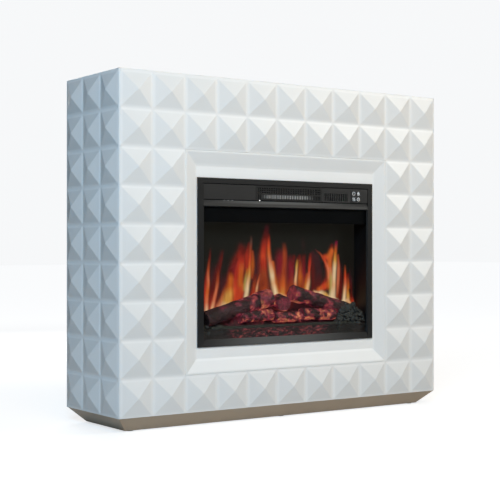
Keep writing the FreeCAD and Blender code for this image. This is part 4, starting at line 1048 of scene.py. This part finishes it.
def coals():
    """Two heaps of broken lumps, one at each end of the bed."""
    rng = np.random.default_rng(31)
    parts = []
    for x0, x1, foot, crest, count in HEAPS:
        for _ in range(count):
            x = rng.uniform(x0, x1)
            rise = min(1, 2.6 * (x - x0) / (x1 - x0) + 0.35, 2.6 * (x1 - x) / (x1 - x0) + 0.45)
            z = foot + (crest - foot) * rise * rng.uniform(0, 1) ** 0.7
            half = rng.uniform(8, 13) * MM * rng.uniform(0.8, 1.2, 3)
            y = BED_LO.y - 2 * MM + half[1] + rng.uniform(0, 8) * MM
            parts.append(lump((x * MM, y, z * MM), half, 90 + len(parts)))
    obj = glowing_piece("coal_heap", "coal_lumps", "coal", parts)


BED_STEP, WALL_ROWS = 2.0 * MM, 12
PEBBLES, PEBBLE = 1100, 9 * MM      # how many, and the largest radius
MOUND, MOUND_X, MOUND_HALF = 30 * MM, 10 * MM, 205 * MM     # height, middle and half width
WARM_X, WARM_HALF = -25 * MM, 215 * MM                      # of the part that glows


def ember_bed():
    """A pebbly crust over the bed's wedge: a rough front wall, then the slope up to a mound at the rear."""
    lo, hi = BED_LO, BED_HI
    across, deep = round((hi.x - lo.x) / BED_STEP), round((hi.y - lo.y) / BED_STEP)
    xs = np.linspace(lo.x, hi.x, across + 1)
    gx, gy = np.tile(xs, deep + 1), np.repeat(np.linspace(lo.y, hi.y, deep + 1), across + 1)
    slope = (gy - lo.y) / (hi.y - lo.y)
    flat = np.stack([gx, gy, gx * 0], 1)
    rng = np.random.default_rng(7)
    height, hot = np.zeros(len(gx)), np.zeros(len(gx))
    for _ in range(PEBBLES):
        cx, cy = rng.uniform(lo.x, hi.x), rng.uniform(lo.y, hi.y)
        size, tint = PEBBLE * rng.uniform(0.5, 1.0), rng.uniform(0, 1)
        dome = 1 - ((gx - cx) ** 2 + (gy - cy) ** 2) / size ** 2
        rise = np.sqrt(np.clip(dome, 0, 1)) * size * 0.55
        hot = np.where(rise > height, tint, hot)
        height = np.maximum(height, rise)
    mound = MOUND * smooth_step((slope - 0.35) / 0.4)
    mound *= smooth_step((MOUND_HALF - np.abs(gx - MOUND_X)) / (50 * MM))
    top = hi.z - 5 * MM - (1 - slope) * 14 * MM + height * 0.8 + 0.5 * MM * layered(flat / (4 * MM), 3, 2)
    top = np.minimum(top, hi.z) + mound * (1 + 0.15 * layered(flat / (20 * MM), 8, 2))
    warm = smooth_step((WARM_HALF - np.abs(gx - WARM_X)) / (70 * MM))
    heat = warm * (0.22 + 0.45 * hot + 0.4 * np.clip(1 - height / (3 * MM), 0, 1))
    row = across + 1
    wall, wall_heat = [], []
    for j in range(WALL_ROWS):
        z = lo.z + (top[:row] - lo.z) * j / WALL_ROWS
        face = np.stack([xs, xs * 0, z], 1)
        dents = layered(face / np.array([11 * MM, 1, 4 * MM]), 17, 3)
        depth = np.clip(1.6 + 1.6 * dents, 0, 3.2) * MM * (0 < j)
        wall.append(np.stack([xs, lo.y + depth, z], 1))
        spots = layered(face / np.array([8 * MM, 1, 3.2 * MM]), 27, 2)
        wall_heat.append(warm[:row] * np.clip(0.46 + 0.95 * spots - 0.3 * dents, 0, 1))
    points = np.vstack(wall + [np.stack([gx, gy, top], 1)])
    rows = WALL_ROWS + deep
    faces = grid_faces(across, rows)
    start = len(points)
    back = [(lo.x, hi.y, lo.z), (hi.x, hi.y, lo.z)]
    last = rows * row
    faces += [[start, *range(last, -1, -row)], [start + 1, *range(across, last + row, row)],
              [start, start + 1, *range(last + across, last - 1, -1)], [start + 1, start, *range(row)]]
    crust = np.vstack([points, back]), faces, np.concatenate(wall_heat + [heat, np.zeros(2)])
    glowing_piece("ember_crust", "ember_bed", "ember_resin", [crust])


# ---- key marks ----
def ribbon(path, width, closed=False):
    """Outline quads of a flat line through points (u, v)."""
    path = [Vector((*p, 0)) for p in path]
    count = len(path)
    verts, faces = [], []
    for i, p in enumerate(path):
        before = path[i - 1] if i or closed else p
        after = path[(i + 1) % count] if i + 1 < count or closed else p
        run = (after - before).normalized()
        side = Vector((-run.y, run.x, 0)) * width / 2
        verts += [p + side, p - side]
    for i in range(count if closed else count - 1):
        j = (i + 1) % count
        faces.append((2 * i, 2 * i + 1, 2 * j + 1, 2 * j))
    return verts, faces


def arc(radius, start, end, turns=28):
    angles = [math.radians(start + (end - start) * i / turns) for i in range(turns + 1)]
    return [(radius * math.cos(a), radius * math.sin(a)) for a in angles]


def wave(x, height, swing):
    return [(x + swing * math.sin(i / 12 * 2 * math.pi), height * (i / 6 - 1)) for i in range(13)]


def drop(size):
    """A flame's outline: wide below, narrow above."""
    angles = [math.radians(12 * i) for i in range(30)]
    return [(size * 0.72 * math.sin(a) * (1 - 0.45 * math.cos(a)), size * math.cos(a)) for a in angles]


def key_marks():
    """Generic raised signs on the four keys, printed pale, with a faint painted glow."""
    line, size, height = 1.15 * MM, 4.8 * MM, 0.25 * MM
    signs = {
        "power": [ribbon(arc(size, 125, 415), line), ribbon([(0, size * 1.15), (0, size * 0.25)], line)],
        "flame": [ribbon(drop(size), line, True), ribbon(drop(size * 0.4), line, True)],
        "heat": [ribbon(wave(k * size * 0.75, size, size * 0.18), line) for k in (-1, 0, 1)],
        "timer": [ribbon(arc(size, 0, 348, 29), line, True),
                  ribbon([(0, size * 0.62), (0, 0), (size * 0.5, 0)], line)]}
    for name, strokes in signs.items():
        lo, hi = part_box("button_" + name)
        verts, faces = [], []
        for flat, quads in strokes:
            faces += [tuple(i + len(verts) for i in q) for q in quads]
            verts += [((lo.x + hi.x) / 2 + p.x, lo.y - 0.02 * MM, (lo.z + hi.z) / 2 + p.y) for p in flat]
        mark = piece("mark_" + name, verts, faces, "icon_white", body="key_" + name, smooth=False)
        raise_it = mark.modifiers.new("raise", "SOLIDIFY")
        raise_it.thickness = height
        raise_it.offset = 0.0


studio()
floor()
paint_frame()
mantel()
recess()
fascia_shadow_strip()
flame_picture()
logs()
coals()
ember_bed()
key_marks()
for node_name in ("top_panel", "plinth_front", "plinth_rear", "plinth_sides"):
    soften(node_name, 0.8 * MM)
soften("trim_frame", 0.6 * MM)
soften("fascia_panel", 0.3 * MM)
soften("button_bezel", 0.25 * MM)
for key in ("power", "flame", "heat", "timer"):
    soften("button_" + key, 0.5 * MM, segments=3)
